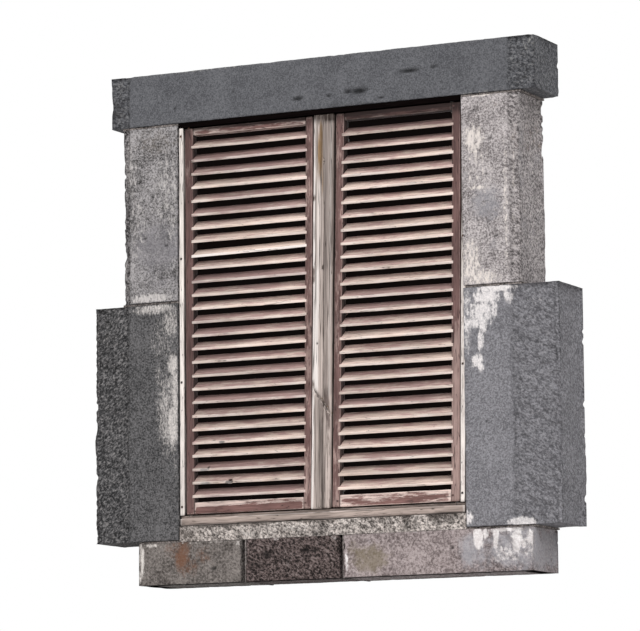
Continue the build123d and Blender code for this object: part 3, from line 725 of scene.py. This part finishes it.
# The old frame has racked: the leaves, the post and the right jamb lean to the right at the top. Each part
# has places in x, with how far the foot and the head move there. Both hinge lines stay upright.
lean = {
    "leftLeaf": ((-0.483, -0.052), (0.0, -0.014), (0.0, 0.005)),
    "post": ((-0.02, 0.056), (-0.015, -0.016), (0.008, 0.01)),
    "rightLeaf": ((0.059, 0.1, 0.483), (-0.016, -0.014, 0.0), (0.012, 0.02, 0.022)),
    "rightJamb": ((0.5, 0.6), (0.0, 0.0), (0.024, 0.024)),
    "leftJamb": ((-0.6, -0.5), (0.0, 0.0), (0.0, 0.0)),
    "foot": 0.237, "head": 1.589,
}
boltPlaces = {"left": -0.0405, "right": 0.0765, "depth": 0.051, "half": 0.0046}


# A point moves in x by the mean of its part's foot and head moves, weighted by its height
def leaning(points, part):
    places, foot, head = lean[part]
    share = np.clip((points[:, 2] - lean["foot"]) / (lean["head"] - lean["foot"]), 0, 1)
    moved = points.copy()
    atFoot, atHead = (np.interp(points[:, 0], places, moves) for moves in (foot, head))
    moved[:, 0] += atFoot * (1 - share) + atHead * share
    return moved


# How far a leaf's bolts move at the foot or the head
def boltShift(side, end):
    return leaning(np.array([[boltPlaces[side], 0.0, lean[end]]]), side + "Leaf")[0, 0] - boltPlaces[side]


# A timber is a box shell with rounded arrises. Its faces sink by fibres stretched along the grain and by
# slow dents. The callers add cracks and missing bits.
def timberShell(low, high, along, step, radius, seed, extra=((), (), ()), roughness=0.0006):
    steps, stretch = [step, step, step], [1.0, 1.0, 1.0]
    steps[along] = step * 2.5
    stretch[along] = 8.0
    points, faces = boxShell(*(gridLines(low[i], high[i], min(steps[i], (high[i] - low[i]) / 3), extra[i])
                               for i in range(3)))
    wear = layeredNoise(points, 0.02, 2, seed, stretch)
    points, away = roundBox(points, radius * (0.5 + 1.3 * wear))
    fibres = layeredNoise(points, 0.006, 2, seed + 2, stretch)
    dents = layeredNoise(points, 0.07, 2, seed + 4)
    points -= away * (roughness * fibres + 2 * roughness * dents)[:, None]
    return points, faces, away


# Two shells as one, each given as points, faces and outward directions
def joinShells(first, second):
    faces = np.concatenate((first[1], second[1] + len(first[0])))
    return np.concatenate((first[0], second[0])), faces, np.concatenate((first[2], second[2]))


# 0 on a flat face, more where the surface turns over an arris
def arrisOf(away):
    return ramp(1 - np.abs(away).max(1), 0.05, 0.3)


def addTimber(name, points, faces, fields, finish, body, part=None):
    piece = addMesh(name + "_wood", leaning(points, part) if part else points, faces, fields)
    standIn(piece, woodMaterials[finish], name, body)


# Stiles and rails of both leaves. The top rails and the upper ends are darkened as a painted shadow of the
# lintel, and the edges that face the gaps, towards the slats, are darkened as painted shade.
leafTimber = {"step": 0.004, "stileRadius": 0.003, "railRadius": 0.002, "hiddenTenon": 0.0138,
              "lintelShadow": (1.525, 1.59), "topRailShadow": (1.57, 1.578), "topRailShadowPatches": (1.566, 1.58), "footBand": 0.264,
              "bareStile": 0.2}


def makeLeafTimbers():
    parts = (("hanging_stile", 2), ("meeting_stile", 2), ("top_rail", 0), ("bottom_rail", 0))
    for sideIndex, side in enumerate(("left", "right")):
        isRight = side == "right"
        for index, (part, along) in enumerate(parts):
            low, high = cadBox(side + "_" + part)
            if along == 0:  # the tenons stay inside the stiles
                low[0] += leafTimber["hiddenTenon"]
                high[0] -= leafTimber["hiddenTenon"]
            seed = 101 + 10 * index + 100 * sideIndex
            radius = leafTimber["stileRadius" if along == 2 else "railRadius"]
            points, faces, away = timberShell(low, high, along, leafTimber["step"], radius, seed)
            z = points[:, 2]
            bare = 0.5 * arrisOf(away) + 0.35 * (layeredNoise(points, 0.15, 3, seed) - 0.5)
            tone = layeredNoise(points, 0.1, 2, seed + 1)
            fields = {"bare": bare, "tone": tone, "bleachAndHighlight": np.zeros(len(points))}
            # Painted shadow of the lintel over the top rail, strongest on the right leaf
            if part == "top_rail":
                fields["grimeAndShade"] = (0.6 if isRight else 0.15) + 0.45 * ramp(z, *leafTimber["topRailShadowPatches"])
                railShade = 0.8 if isRight else 0.45 * ramp(points[:, 0], -0.2, -0.06)
                topRailShadow = 0.9 * ramp(z + 0.006 * (tone - 0.5), *leafTimber["topRailShadow"])
                fields["shadeAndSoil"] = np.clip(railShade + topRailShadow, 0, 1)
                bare += 0.0 if isRight else 0.2
            elif part == "bottom_rail":
                footBand = ramp(leafTimber["footBand"] - z, -0.004, 0.004)
                fields["grimeAndShade"] = 0.3 * footBand
                bare += 0.28 * (1 - footBand) + (0.1 if isRight else -0.15) * footBand
                tone += 0.25 * (1 - footBand) + (0.35 if isRight else 0.0)
            else:
                outer = part == "hanging_stile"
                # Painted shadow of the lintel on the upper ends of the stiles
                lintelShadow = ramp(z, *leafTimber["lintelShadow"])
                fields["grimeAndShade"] = 0.55 * lintelShadow + (0.1 if outer else 0.0)
                if not outer:
                    bare += leafTimber["bareStile"]
                    tone += leafTimber["bareStile"]
                elif isRight:
                    lower = ramp(1.0 - z, 0, 0.3)
                    # Painted shade over the upper part of the right leaf's hanging stile
                    fields["grimeAndShade"] += 0.25 * ramp(z, 0.9, 1.5)
                    bare += 0.45 * lower
                    tone += 0.3 * lower
                # Painted shade on the stile faces that turn towards the slats
                towards = -1 if isRight == outer else 1
                innerFaceShade = 0.95 * ramp(away[:, 0] * towards, 0.5, 0.9)
                fields["shadeAndSoil"] = np.maximum(innerFaceShade, (0.8 if isRight else 0.6) * lintelShadow)
            finish = "leafPaintUpright" if along == 2 else "leafPaintLevel"
            addTimber(side + "_" + part, points, faces, fields, finish, side + "_leaf", side + "Leaf")


makeLeafTimbers()
print("stiles and rails made")

# Slats. "settled" is how far the slats at "settledAt" have sunk, counted from the foot. One slat has
# slipped, and another has a bite out of its front edge. "marks" are stains, as on the stones.
slatValues = {
    "count": 27, "pitch": 0.0467, "lowest": 0.298, "front": 0.008, "back": 0.043, "slope": 35.0,
    "thickness": 0.008, "stations": 90, "cornerRadius": 0.0022, "cornerShares": (1.0, 0.6, 0.6, 1.25),
    "endPlay": 0.0002, "frontPlay": 0.0004, "tiltDegrees": 1.6, "sag": 0.0012, "endDrop": 0.0015,
    "wear": 0.0022,
    "settledAt": (0, 6, 13, 20, 26),
    "settled": {"left": (0.002, 0.0055, 0.0055, 0.004, 0.0), "right": (0.0, 0.0035, 0.007, 0.009, 0.007)},
    "slipped": {"slat": 18, "drop": 0.006, "tilt": -0.05, "shade": 1.35},
    "bite": {"slat": 1, "x": -0.343, "half": 0.01, "deep": 0.007, "low": 0.002},
    "marks": [(-426, 403, 6, 16, 120), (-405, 494, 16, 5, 120), (-372, 484, 16, 5, 120),
              (-445, 391, 20, 6, 120), (-343, 345, 18, 8, 120), (-440, 345, 30, 6, 110)],
}


# A slat's section has upright edges and sloping faces. Its four corners are rounded by curves that start
# and end a little way from the corner: each curve's point is (1-t)^2 start + 2t(1-t) corner + t^2 end.
# From the foot of the front edge the points run backwards.
def slatSection(depth, rise):
    edge = slatValues["thickness"] / math.cos(math.radians(slatValues["slope"]))
    corners = np.array([(0, 0), (depth, rise), (depth, rise + edge), (0, edge)])
    size = np.array(slatValues["cornerShares"])[:, None, None] * slatValues["cornerRadius"]
    starts, ends = (np.roll(corners, turn, 0) - corners for turn in (1, -1))
    starts, ends = (v / np.linalg.norm(v, axis=1, keepdims=True) for v in (starts, ends))
    t = np.linspace(0, 1, 5)[None, :, None]
    corner = corners[:, None]
    curve = (1 - t) ** 2 * (corner + starts[:, None] * size) + 2 * t * (1 - t) * corner \
        + t ** 2 * (corner + ends[:, None] * size)
    return curve.reshape(-1, 2), edge


# The section is carried along the slat, and turns, sags and wears a little differently on each one
def makeSlats(side, seed):
    low, high = cadBox(side + "_slats")
    isLeft = side == "left"
    count, stations, slipped = slatValues["count"], slatValues["stations"], slatValues["slipped"]
    depth = slatValues["back"] - slatValues["front"]
    rise = depth * math.tan(math.radians(slatValues["slope"]))
    section, edge = slatSection(depth, rise)
    number = np.arange(count)
    pick = lambda salt: cornerValue(number, number * 0 + salt, number * 0, seed)
    tilt = np.radians(slatValues["tiltDegrees"]) * (pick(1) - 0.5) * 2
    sag = slatValues["sag"] * pick(2)
    dropLeft = slatValues["endDrop"] * pick(3)
    dropRight = slatValues["endDrop"] * pick(4)
    shades = pick(5)
    if isLeft:
        dropLeft[slipped["slat"]] = slipped["drop"]
        tilt[slipped["slat"]] = slipped["tilt"]
        shades[slipped["slat"]] = slipped["shade"]
    x = np.linspace(low[0] + slatValues["endPlay"], high[0] - slatValues["endPlay"], stations)
    u = np.linspace(-1, 1, stations)[None]
    middleY, middleZ = depth / 2, rise / 2 + edge / 2
    sectionY, sectionZ = section[:, 0] - middleY, section[:, 1] - middleZ
    turn = tilt[:, None, None]
    y = slatValues["front"] + slatValues["frontPlay"] + middleY \
        + sectionY * np.cos(turn) - sectionZ * np.sin(turn)
    bend = sag[:, None] * (1 - u ** 2) + (dropLeft[:, None] * (1 - u) + dropRight[:, None] * (1 + u)) / 2
    settled = np.interp(number, slatValues["settledAt"], slatValues["settled"][side])
    level = (number * slatValues["pitch"] - settled)[:, None, None]
    z = middleZ + sectionY * np.sin(turn) + sectionZ * np.cos(turn)
    z = z + slatValues["lowest"] + level - bend[:, :, None]
    shape = (count, stations, len(section))
    x = np.broadcast_to(x[None, :, None], shape)
    y = np.broadcast_to(y, shape).copy()
    points = np.stack((x, y, z), -1)
    nearFront = ramp(0.016 - section[:, 0], 0, 0.016)
    y += slatValues["wear"] * ramp(layeredNoise(points, 0.018, 3, seed + 6, (3, 1, 1)), 0.5, 0.9) * nearFront
    z += 0.0008 * (layeredNoise(points, 0.05, 2, seed + 9, (2, 1, 1)) - 0.5)
    if isLeft:
        bite = slatValues["bite"]
        bitten = bell(x[bite["slat"]], bite["x"], bite["half"], 4) * nearFront
        y[bite["slat"]] += bite["deep"] * bitten
        z[bite["slat"]] -= bite["low"] * bitten
    points = np.stack((x, y, z), -1).reshape(-1, 3)

    index = np.arange(len(points)).reshape(shape)
    a, b = index[:, :-1], index[:, 1:]
    faces = np.stack((a, b, np.roll(b, -1, 2), np.roll(a, -1, 2)), -1).reshape(-1, 4)
    caps = [list(row) for row in index[:, 0]] + [list(row[::-1]) for row in index[:, -1]]
    overAll = lambda values: np.broadcast_to(values, shape).reshape(-1)
    height = points[:, 2]
    frontness = overAll(ramp(0.042 - section[:, 0], 0.0, 0.024))
    lip = overAll(ramp(0.0016 - section[:, 0], 0, 0.0016))
    tone = 0.65 * overAll(shades[:, None, None]) + 0.35 * layeredNoise(points, 0.12, 2, seed + 12)
    # Painted shadow of the lintel over the upper slats, stronger on the right leaf
    lintelShadow = ramp(height, 1.42, 1.57) * (0.3 if isLeft else 0.8)
    glint = layeredNoise(points, 0.035, 2, seed + 15, (1.6, 1, 1))
    inside = overAll(np.maximum(section[:, 0], 0.0))
    # The back of each slat's face is darkened as painted shade, where the slat above keeps the light off
    deep = np.interp(inside, (0.002, 0.016, 0.03, 0.036), (0.0, 0.06, 0.26, 0.46)) \
        + 0.25 * (layeredNoise(points, 0.05, 2, seed + 17, (3, 1, 1)) - 0.5)
    brighter = 0.02 + 0.3 * ramp(points[:, 0], -0.4, -0.08) if isLeft else 0.38
    fields = {
        # The front lip is made lighter in bare, tone and the pale field: a painted highlight, broken by
        # glints
        "bare": 0.1 * frontness + 0.2 * lip + 0.5 * (tone - 0.5)
                + 0.2 * brighter * ramp(1.2 - height, 0, 0.4),
        "tone": tone + 0.2 * lip + brighter,
        "bleachAndHighlight": np.clip(lip * (1 - lintelShadow) * (0.75 * glint - 0.12) + 0.5 * (tone > 1) * lip, 0, 1),
        # More painted shade towards the back, and the lintel's painted shadow on the upper slats
        "grimeAndShade": 0.15 * (1 - frontness) + 0.45 * lintelShadow,
        "stain": spots(points, slatValues["marks"] if isLeft else []),
        "shadeAndSoil": np.clip(deep + 0.6 * lintelShadow, 0, 1),
    }
    leaf = side + "_leaf"
    addTimber(side + "_slats", points, faces.tolist() + caps, fields, "slatPaint", leaf, side + "Leaf")


makeSlats("left", 301)
makeSlats("right", 402)
print("slats made")

# Frame jambs: thin strips, bleached nearly white, with painted shade where they are set back, under the
# lintel and over the upper part of the right one
jambValues = {"step": 0.004, "radius": 0.002, "pale": {"left": 0.12, "right": 0.05}, "palerFoot": 0.35,
              "palerBelow": 1.04, "dull": {"left": 0.0, "right": 0.3}, "shadeFrom": 1.06, "shadeTo": 1.22}


def makeJambs():
    for side, seed in (("left", 501), ("right", 521)):
        name = "frame_" + side + "_jamb"
        points, faces, away = timberShell(*cadBox(name), 2, jambValues["step"], jambValues["radius"], seed)
        y, z = points[:, 1], points[:, 2]
        # Where the strip is set back it is darkened as painted shade
        recess = ramp(y, 0.006, 0.012)
        pale = jambValues["pale"][side]
        shadeAndSoil = 0.6 * recess
        if side == "right":
            pale = pale + jambValues["palerFoot"] * ramp(jambValues["palerBelow"] - z, 0, 0.12)
            # Painted shade over the upper part of the right jamb
            shadeAndSoil = np.maximum(shadeAndSoil, 0.85 * ramp(z, jambValues["shadeFrom"], jambValues["shadeTo"]))
        fields = {
            "bare": jambValues["dull"][side] + 0.3 * (layeredNoise(points, 0.15, 2, seed) - 0.5),
            "tone": layeredNoise(points, 0.08, 2, seed + 1),
            "bleachAndHighlight": np.clip(0.35 * arrisOf(away) + pale, 0, 1) * (y < 0.012),
            # Painted shade in the recess and, at the top, under the lintel
            "grimeAndShade": 0.7 * recess + 0.4 * ramp(z, 1.56, 1.6),
            "shadeAndSoil": shadeAndSoil,
        }
        addTimber(name, points, faces, fields, "frameTimber", "surround", side + "Jamb")


# The post: grey bare timber with a bright left arris, an ochre stain near its head, knots, drying cracks
# and a slanting split. "cracks" are (x, half width, top, foot, seed) and "notches" (height, half height) of
# the bites out of the left arris, both in metres.
postValues = {
    "step": 0.003, "radius": 0.005, "backRadius": 0.002, "roughness": 0.0009, "seed": 541,
    "front": ((-0.02, 0.003, 0.2372), (0.056, 0.046, 1.5887)),
    "rebate": ((-0.031, 0.0442, 0.2372), (0.067, 0.06, 1.5887)),
    "cracks": ((0.004, 0.0022, 1.6, 0.9, 1), (0.022, 0.0025, 1.3, 0.24, 2), (0.041, 0.0022, 1.59, 0.62, 3),
               (0.031, 0.002, 0.62, 0.24, 4)),
    "crackDepth": 0.004, "split": ((-0.017, 0.65), (0.055, 0.551)), "splitWidth": 0.0036,
    "splitDepth": 0.009, "notchDepths": (0.008, 0.006), "knotDepth": 0.002,
    "notches": ((1.046, 0.016), (1.02, 0.01), (1.3, 0.008), (0.66, 0.012)), "arris": -0.009,
    "knots": [(21, 1425, 6, 8, 100), (18, 1058, 5, 7, 100), (0, 800, 6, 9, 100)],
    "ochre": [(8, 1460, 14, 130, 100), (16, 1360, 8, 100, 70)],
}


# Cracks and the split are valleys of exp(-(distance / width)^2). The cracks wander slowly with height.
def makePost():
    seed, step = postValues["seed"], postValues["step"]
    front = timberShell(*postValues["front"], 2, step, postValues["radius"], seed,
                        roughness=postValues["roughness"])
    back = timberShell(*postValues["rebate"], 2, step, postValues["backRadius"], seed + 3)
    points, faces, away = joinShells(front, back)
    facing = ramp(-away[:, 1], 0.2, 0.8)
    upright = points * (0, 0, 1)
    x, z = points[:, 0], points[:, 2]
    cracks = np.zeros(len(points))
    for place, width, top, foot, salt in postValues["cracks"]:
        wander = place + 0.008 * (layeredNoise(upright, 0.25, 2, seed + salt) - 0.5)
        valley = bell(x, wander, width) * ramp(z, foot, foot + 0.06) * ramp(top - z, 0, 0.06)
        cracks = np.maximum(cracks, valley)
    (ax, az), (bx, bz) = postValues["split"]
    reach = np.hypot(bx - ax, bz - az)
    t = ((x - ax) * (bx - ax) + (z - az) * (bz - az)) / reach ** 2
    off = ((x - ax) * (bz - az) - (z - az) * (bx - ax)) / reach
    split = bell(off, 0, postValues["splitWidth"]) * ramp(t, -0.05, 0.1) * ramp(1.08 - t, 0, 0.15)
    notch = np.maximum.reduce([bell(z, place, half, 4) for place, half in postValues["notches"]])
    notch = notch * ramp(postValues["arris"] - x, 0, 0.008)
    points[:, 1] += facing * (postValues["crackDepth"] * cracks + postValues["splitDepth"] * split)
    sideways, inwards = postValues["notchDepths"]
    points[:, 0] += sideways * notch * facing
    points[:, 1] += inwards * notch * facing
    knots = spots(points, postValues["knots"])
    points[:, 1] += postValues["knotDepth"] * knots * facing

    # Streaks of white and of dark soil, from the left arris to the right one. The head is also darkened as a
    # painted shadow of the lintel, and the faces behind the front and the notches as painted shade.
    seen = (points[:, 1] < 0.014).astype(float)
    streak = layeredNoise(points, 0.006, 3, seed + 6, (1, 1, 40))
    at = points[:, 0] + 0.003 * (layeredNoise(upright, 0.08, 2, seed + 8) - 0.5)
    upper, middle = ramp(z, 1.04, 1.07), ramp(z, 0.62, 0.66) * ramp(1.07 - z, 0, 0.03)
    lower = ramp(0.64 - z, 0, 0.04)
    arris = ramp(postValues["arris"] - at, -0.001, 0.003)
    white = arris * (0.95 * upper * (1 - 0.5 * ramp(z, 1.42, 1.55)) + 0.95 * lower)
    white += 0.8 * middle * ramp(0.004 - at, -0.004, 0.004)
    white += 0.45 * upper * ramp(1.38 - z, 0, 0.05) * bell(at, 0.002, 0.007)
    white += 0.5 * bell(at, 0.046, 0.0035) * (1 - lower)
    white *= 1.15 * seen * (1 - notch) * ramp(streak, 0.1, 0.42)
    dark = 0.75 * bell(at, -0.0085, 0.0022) * ramp(z, 1.05, 1.08) * ramp(1.38 - z, 0, 0.04)
    dark += (0.46 - 0.12 * middle) * ramp(at, 0.016, 0.026) * (1 - lower) + 0.25 * ramp(at, 0.0505, 0.053)
    # The first term is a painted shadow of the lintel, the second a dark streak
    dark += 0.9 * ramp(z, 1.548, 1.58) + 0.4 * upper * bell(at, 0.013, 0.0025)
    dark += 0.6 * lower * bell(at, 0.014 + 0.05 * (0.5 - z), 0.01)
    ochre = spots(points, postValues["ochre"]) * seen
    lip = bell(off, -0.006, 0.004) * ramp(t, 0.25, 0.4) * ramp(1.1 - t, 0, 0.1)
    # Dark cracks, split and knots, with a painted shadow of the lintel at the head and painted shade in the
    # notches
    grimeAndShade = 0.9 * np.maximum(cracks, split) * facing + 0.9 * knots + 0.5 * ramp(z, 1.55, 1.6) + 0.6 * notch
    fields = {
        "bare": 0.8 * (streak - 0.5) + 0.1 * lower,
        "tone": np.clip(layeredNoise(points, 0.01, 2, seed + 5, (1, 1, 30)) + 0.1, 0, 1),
        "bleachAndHighlight": np.clip(white, 0, 1),
        "stain": np.clip(ochre + 0.8 * lip, 0, 1),
        # The faces behind the front are darkened as painted shade
        "shadeAndSoil": np.clip(dark * (0.6 + 0.8 * streak) + 0.7 * (1 - seen), 0, 1),
        "grimeAndShade": np.clip(grimeAndShade, 0, 1),
    }
    addTimber("centre_post", points, faces, fields, "postTimber", "surround", "post")


makeJambs()
makePost()

# The sill keeps its real outline, a nose below and an upstand behind it, made of two shells. Each is
# ((front, foot), (back, top), radius), and None is the front or back of the sill's own box.
sillValues = {"step": 0.004, "nose": ((None, 0.2012), (0.0625, 0.2278), 0.003),
              "upstand": ((0.0112, 0.226), (None, 0.2368), 0.0015), "upperFrom": 0.229, "holesAbove": 0.215}


# The level faces are left open where the foot bolts go in
def makeFrameSill():
    low, high = cadBox("frame_sill")
    half, depth, step = boltPlaces["half"], boltPlaces["depth"], sillValues["step"]
    middles = [boltPlaces[side] + boltShift(side, "foot") for side in ("left", "right")]
    extra = ([m + d for m in middles for d in (-half, half)], [depth - half, depth + half], ())
    shells = []
    for shell, seed in (("nose", 601), ("upstand", 611)):
        (front, foot), (back, top), radius = sillValues[shell]
        foremost = (low[0], low[1] if front is None else front, foot)
        rearmost = (high[0], high[1] if back is None else back, top)
        shells.append(timberShell(foremost, rearmost, 0, step, radius, seed, extra))
    points, faces, away = joinShells(*shells)
    centre = points[faces].mean(1)
    beside = np.minimum(np.abs(centre[:, 0] - middles[0]), np.abs(centre[:, 0] - middles[1]))
    hole = (beside < half) & (np.abs(centre[:, 1] - depth) < half)
    hole &= centre[:, 2] > sillValues["holesAbove"]
    z = points[:, 2]
    upper = z > sillValues["upperFrom"]
    streak = layeredNoise(points, 0.05, 3, 608, (3, 1, 0.25))
    # The upstand, the foot of the nose and the deeper faces are darkened as painted shade over real dark
    # streaks; the nose's arrises are lighter from wear and from a painted highlight
    shadeAndSoil = np.where(upper, 0.35, 0.0) + 0.55 * ramp(0.209 - z, 0, 0.006) + 0.4 * ramp(streak, 0.55, 0.75)
    fields = {
        "bare": 0.5 * (layeredNoise(points, 0.1, 3, 605, (4, 1, 1)) - 0.5),
        "tone": layeredNoise(points, 0.1, 2, 606, (3, 1, 0.2)),
        "bleachAndHighlight": 0.55 * arrisOf(away) * ~upper * ramp(streak, 0.35, 0.6),
        "grimeAndShade": np.where(upper, 0.55, 0.2 + 0.25 * ramp(points[:, 1], 0.004, 0.012)),
        "shadeAndSoil": np.clip(shadeAndSoil, 0, 1),
    }
    addTimber("frame_sill", points, faces[~hole], fields, "sillTimber", "surround")


makeFrameSill()
print("frame made")


# The iron parts, pegs and frame head keep their CAD shape. The bolts and their plates move as stiff pieces
# to where the leaning stiles carry them, and the head's bolt holes move with the upper bolts. The pivots
# stay, and only take their material. Corners of a copy at the same place are made one.
def leanCopy(name, material, body, move):
    source = cadNodes[name].data
    corners = np.empty(len(source.vertices) * 3, np.float32)
    source.vertices.foreach_get("co", corners)
    source.calc_loop_triangles()
    triangles = np.empty(len(source.loop_triangles) * 3, np.int32)
    source.loop_triangles.foreach_get("vertices", triangles)
    points, joined = np.unique(np.round(corners.reshape(-1, 3).astype(float), 6), axis=0, return_inverse=True)
    faces = joined.reshape(-1)[triangles].reshape(-1, 3)
    faces = faces[(faces != np.roll(faces, 1, 1)).all(1)]
    standIn(addMesh(name + "_leaning", move(points), faces, smooth=False), material, name, body)


# At each of its places in x the head moves as far as the bolt that it follows there, and evenly between
# them. "halfway" is the height between the lower and the upper bolts.
ironValues = {"headPlaces": (-0.45, -0.08, 0.0, 0.04, 0.12, 0.45),
              "follows": (None, "left", "left", "right", "right", None), "halfway": 0.9}


def makeIron():
    lift = lambda points, shift: points + np.outer(np.broadcast_to(shift, len(points)), (1, 0, 0))
    shifts = [boltShift(side, "head") if side else 0.0 for side in ironValues["follows"]]
    # The frame head carries the painted shade finish
    leanCopy("frame_head", woodMaterials["headInPaintedShade"], "surround",
             lambda points: lift(points, np.interp(points[:, 0], ironValues["headPlaces"], shifts)))
    leanCopy("frame_nails", rustyIron, "surround",
             lambda points: np.where(points[:, :1] > 0, leaning(points, "rightJamb"), points))
    for side in ("left", "right"):
        leaf = side + "_leaf"
        finishNode(side + "_pivot_bushes", rustyIron)
        finishNode(side + "_pivot_pins", rustyIron)
        leanCopy(side + "_pegs", woodMaterials["leafPaintUpright"], leaf,
                 lambda points: leaning(points, side + "Leaf"))
        foot, head = boltShift(side, "foot"), boltShift(side, "head")
        leanCopy(side + "_knob", rustyIron, leaf, lambda points: lift(points, (foot + head) / 2))
        leanCopy(side + "_bolt_nails", rustyIron, leaf,
                 lambda points: lift(points, np.where(points[:, 2] > ironValues["halfway"], head, foot)))
        for end, shift in (("bottom", foot), ("top", head)):
            bolt = side + "_" + end + "_bolt"
            leanCopy(bolt + "_plate", rustyIron, leaf, lambda points: lift(points, shift))
            leanCopy(bolt, rustyIron, bolt, lambda points: lift(points, shift))


makeIron()
print("iron made")

# Backdrop, floor and light. "dark" is a near-black panel behind the leaves, seen only by the camera: painted
# shade for the darkness of a room. "open" is an opening in the floor under the stones, so that they keep
# light from below when seen from there.
stageValues = {"dark": ((-0.54, 0.54), 0.071, (0.2, 1.606)), "paintedShadeColor": (0.0045, 0.0032, 0.003),
               "reach": 12.0, "open": ((-0.64, 0.73), (0.035, 0.175)), "floorLevel": -0.0005,
               "floorColor": (0.8, 0.79, 0.78), "floorRoughness": 0.9}


# A surface that is clear from behind, and to all but the camera where that is asked for
def oneSided(tree, surface, cameraOnly=False):
    clear = node(tree, "ShaderNodeBsdfTransparent").outputs[0]
    share = node(tree, "ShaderNodeNewGeometry").outputs["Backfacing"]
    if cameraOnly:
        seen = node(tree, "ShaderNodeLightPath").outputs["Is Camera Ray"]
        share = calc(tree, "MAXIMUM", share, calc(tree, "SUBTRACT", 1.0, seen))
    mix = node(tree, "ShaderNodeMixShader", {0: share, 1: surface, 2: clear})
    tree.links.new(mix.outputs[0], tree.nodes["Material Output"].inputs["Surface"])


def addStage():
    (x0, x1), y, (z0, z1) = stageValues["dark"]
    corners = np.array([(x0, y, z0), (x1, y, z0), (x1, y, z1), (x0, y, z1)])
    dark = addMesh("painted_room_shade", corners, [(0, 1, 2, 3)], smooth=False)
    material, tree = startMaterial("paintedRoomShade")[:2]
    emission = node(tree, "ShaderNodeEmission", {"Color": (*stageValues["paintedShadeColor"], 1)})
    oneSided(tree, emission.outputs[0], cameraOnly=True)
    dark.data.materials.append(material)

    reach = stageValues["reach"]
    corners = []
    for (x0, x1), (y0, y1) in (((-reach, reach), (-reach, reach)), stageValues["open"]):
        corners += [(x, y, stageValues["floorLevel"]) for x, y in ((x0, y0), (x1, y0), (x1, y1), (x0, y1))]
    around = [(0, 1, 5, 4), (1, 2, 6, 5), (2, 3, 7, 6), (3, 0, 4, 7)]
    floor = addMesh("floor", np.array(corners), around, smooth=False)
    material, tree, shader = startMaterial("paleFloor")
    shader.inputs["Base Color"].default_value = (*stageValues["floorColor"], 1)
    shader.inputs["Roughness"].default_value = stageValues["floorRoughness"]
    oneSided(tree, shader.outputs[0])
    floor.data.materials.append(material)


addStage()

# Soft light: a dim sky all round, and one broad sun high in front and to the right
lightValues = {"sky": 0.45, "seenSky": 1.0, "sun": 2.3, "sunWidthDegrees": 55, "sunFrom": (0.42, -0.68, 0.6)}


def addLight():
    world = bpy.data.worlds.new("World")
    bpy.context.scene.world = world
    world.use_nodes = True
    tree = world.node_tree
    sky = tree.nodes["Background"]
    sky.inputs["Color"].default_value = (1, 1, 1, 1)
    rays = node(tree, "ShaderNodeLightPath").outputs
    mirrored = calc(tree, "MAXIMUM", rays["Is Camera Ray"], rays["Is Glossy Ray"])
    seen = calc(tree, "MAXIMUM", mirrored, rays["Is Transmission Ray"])
    strength = mixValue(tree, seen, lightValues["sky"], lightValues["seenSky"])
    tree.links.new(strength, sky.inputs["Strength"])
    data = bpy.data.lights.new("Sun", "SUN")
    data.energy = lightValues["sun"]
    data.angle = math.radians(lightValues["sunWidthDegrees"])
    sun = bpy.data.objects.new("Sun", data)
    bpy.context.scene.collection.objects.link(sun)
    sun.rotation_mode = "QUATERNION"
    sun.rotation_quaternion = (-Vector(lightValues["sunFrom"])).to_track_quat("-Z", "Y")


addLight()
bpy.context.scene.view_settings.view_transform = "Standard"
print("stage and light made")
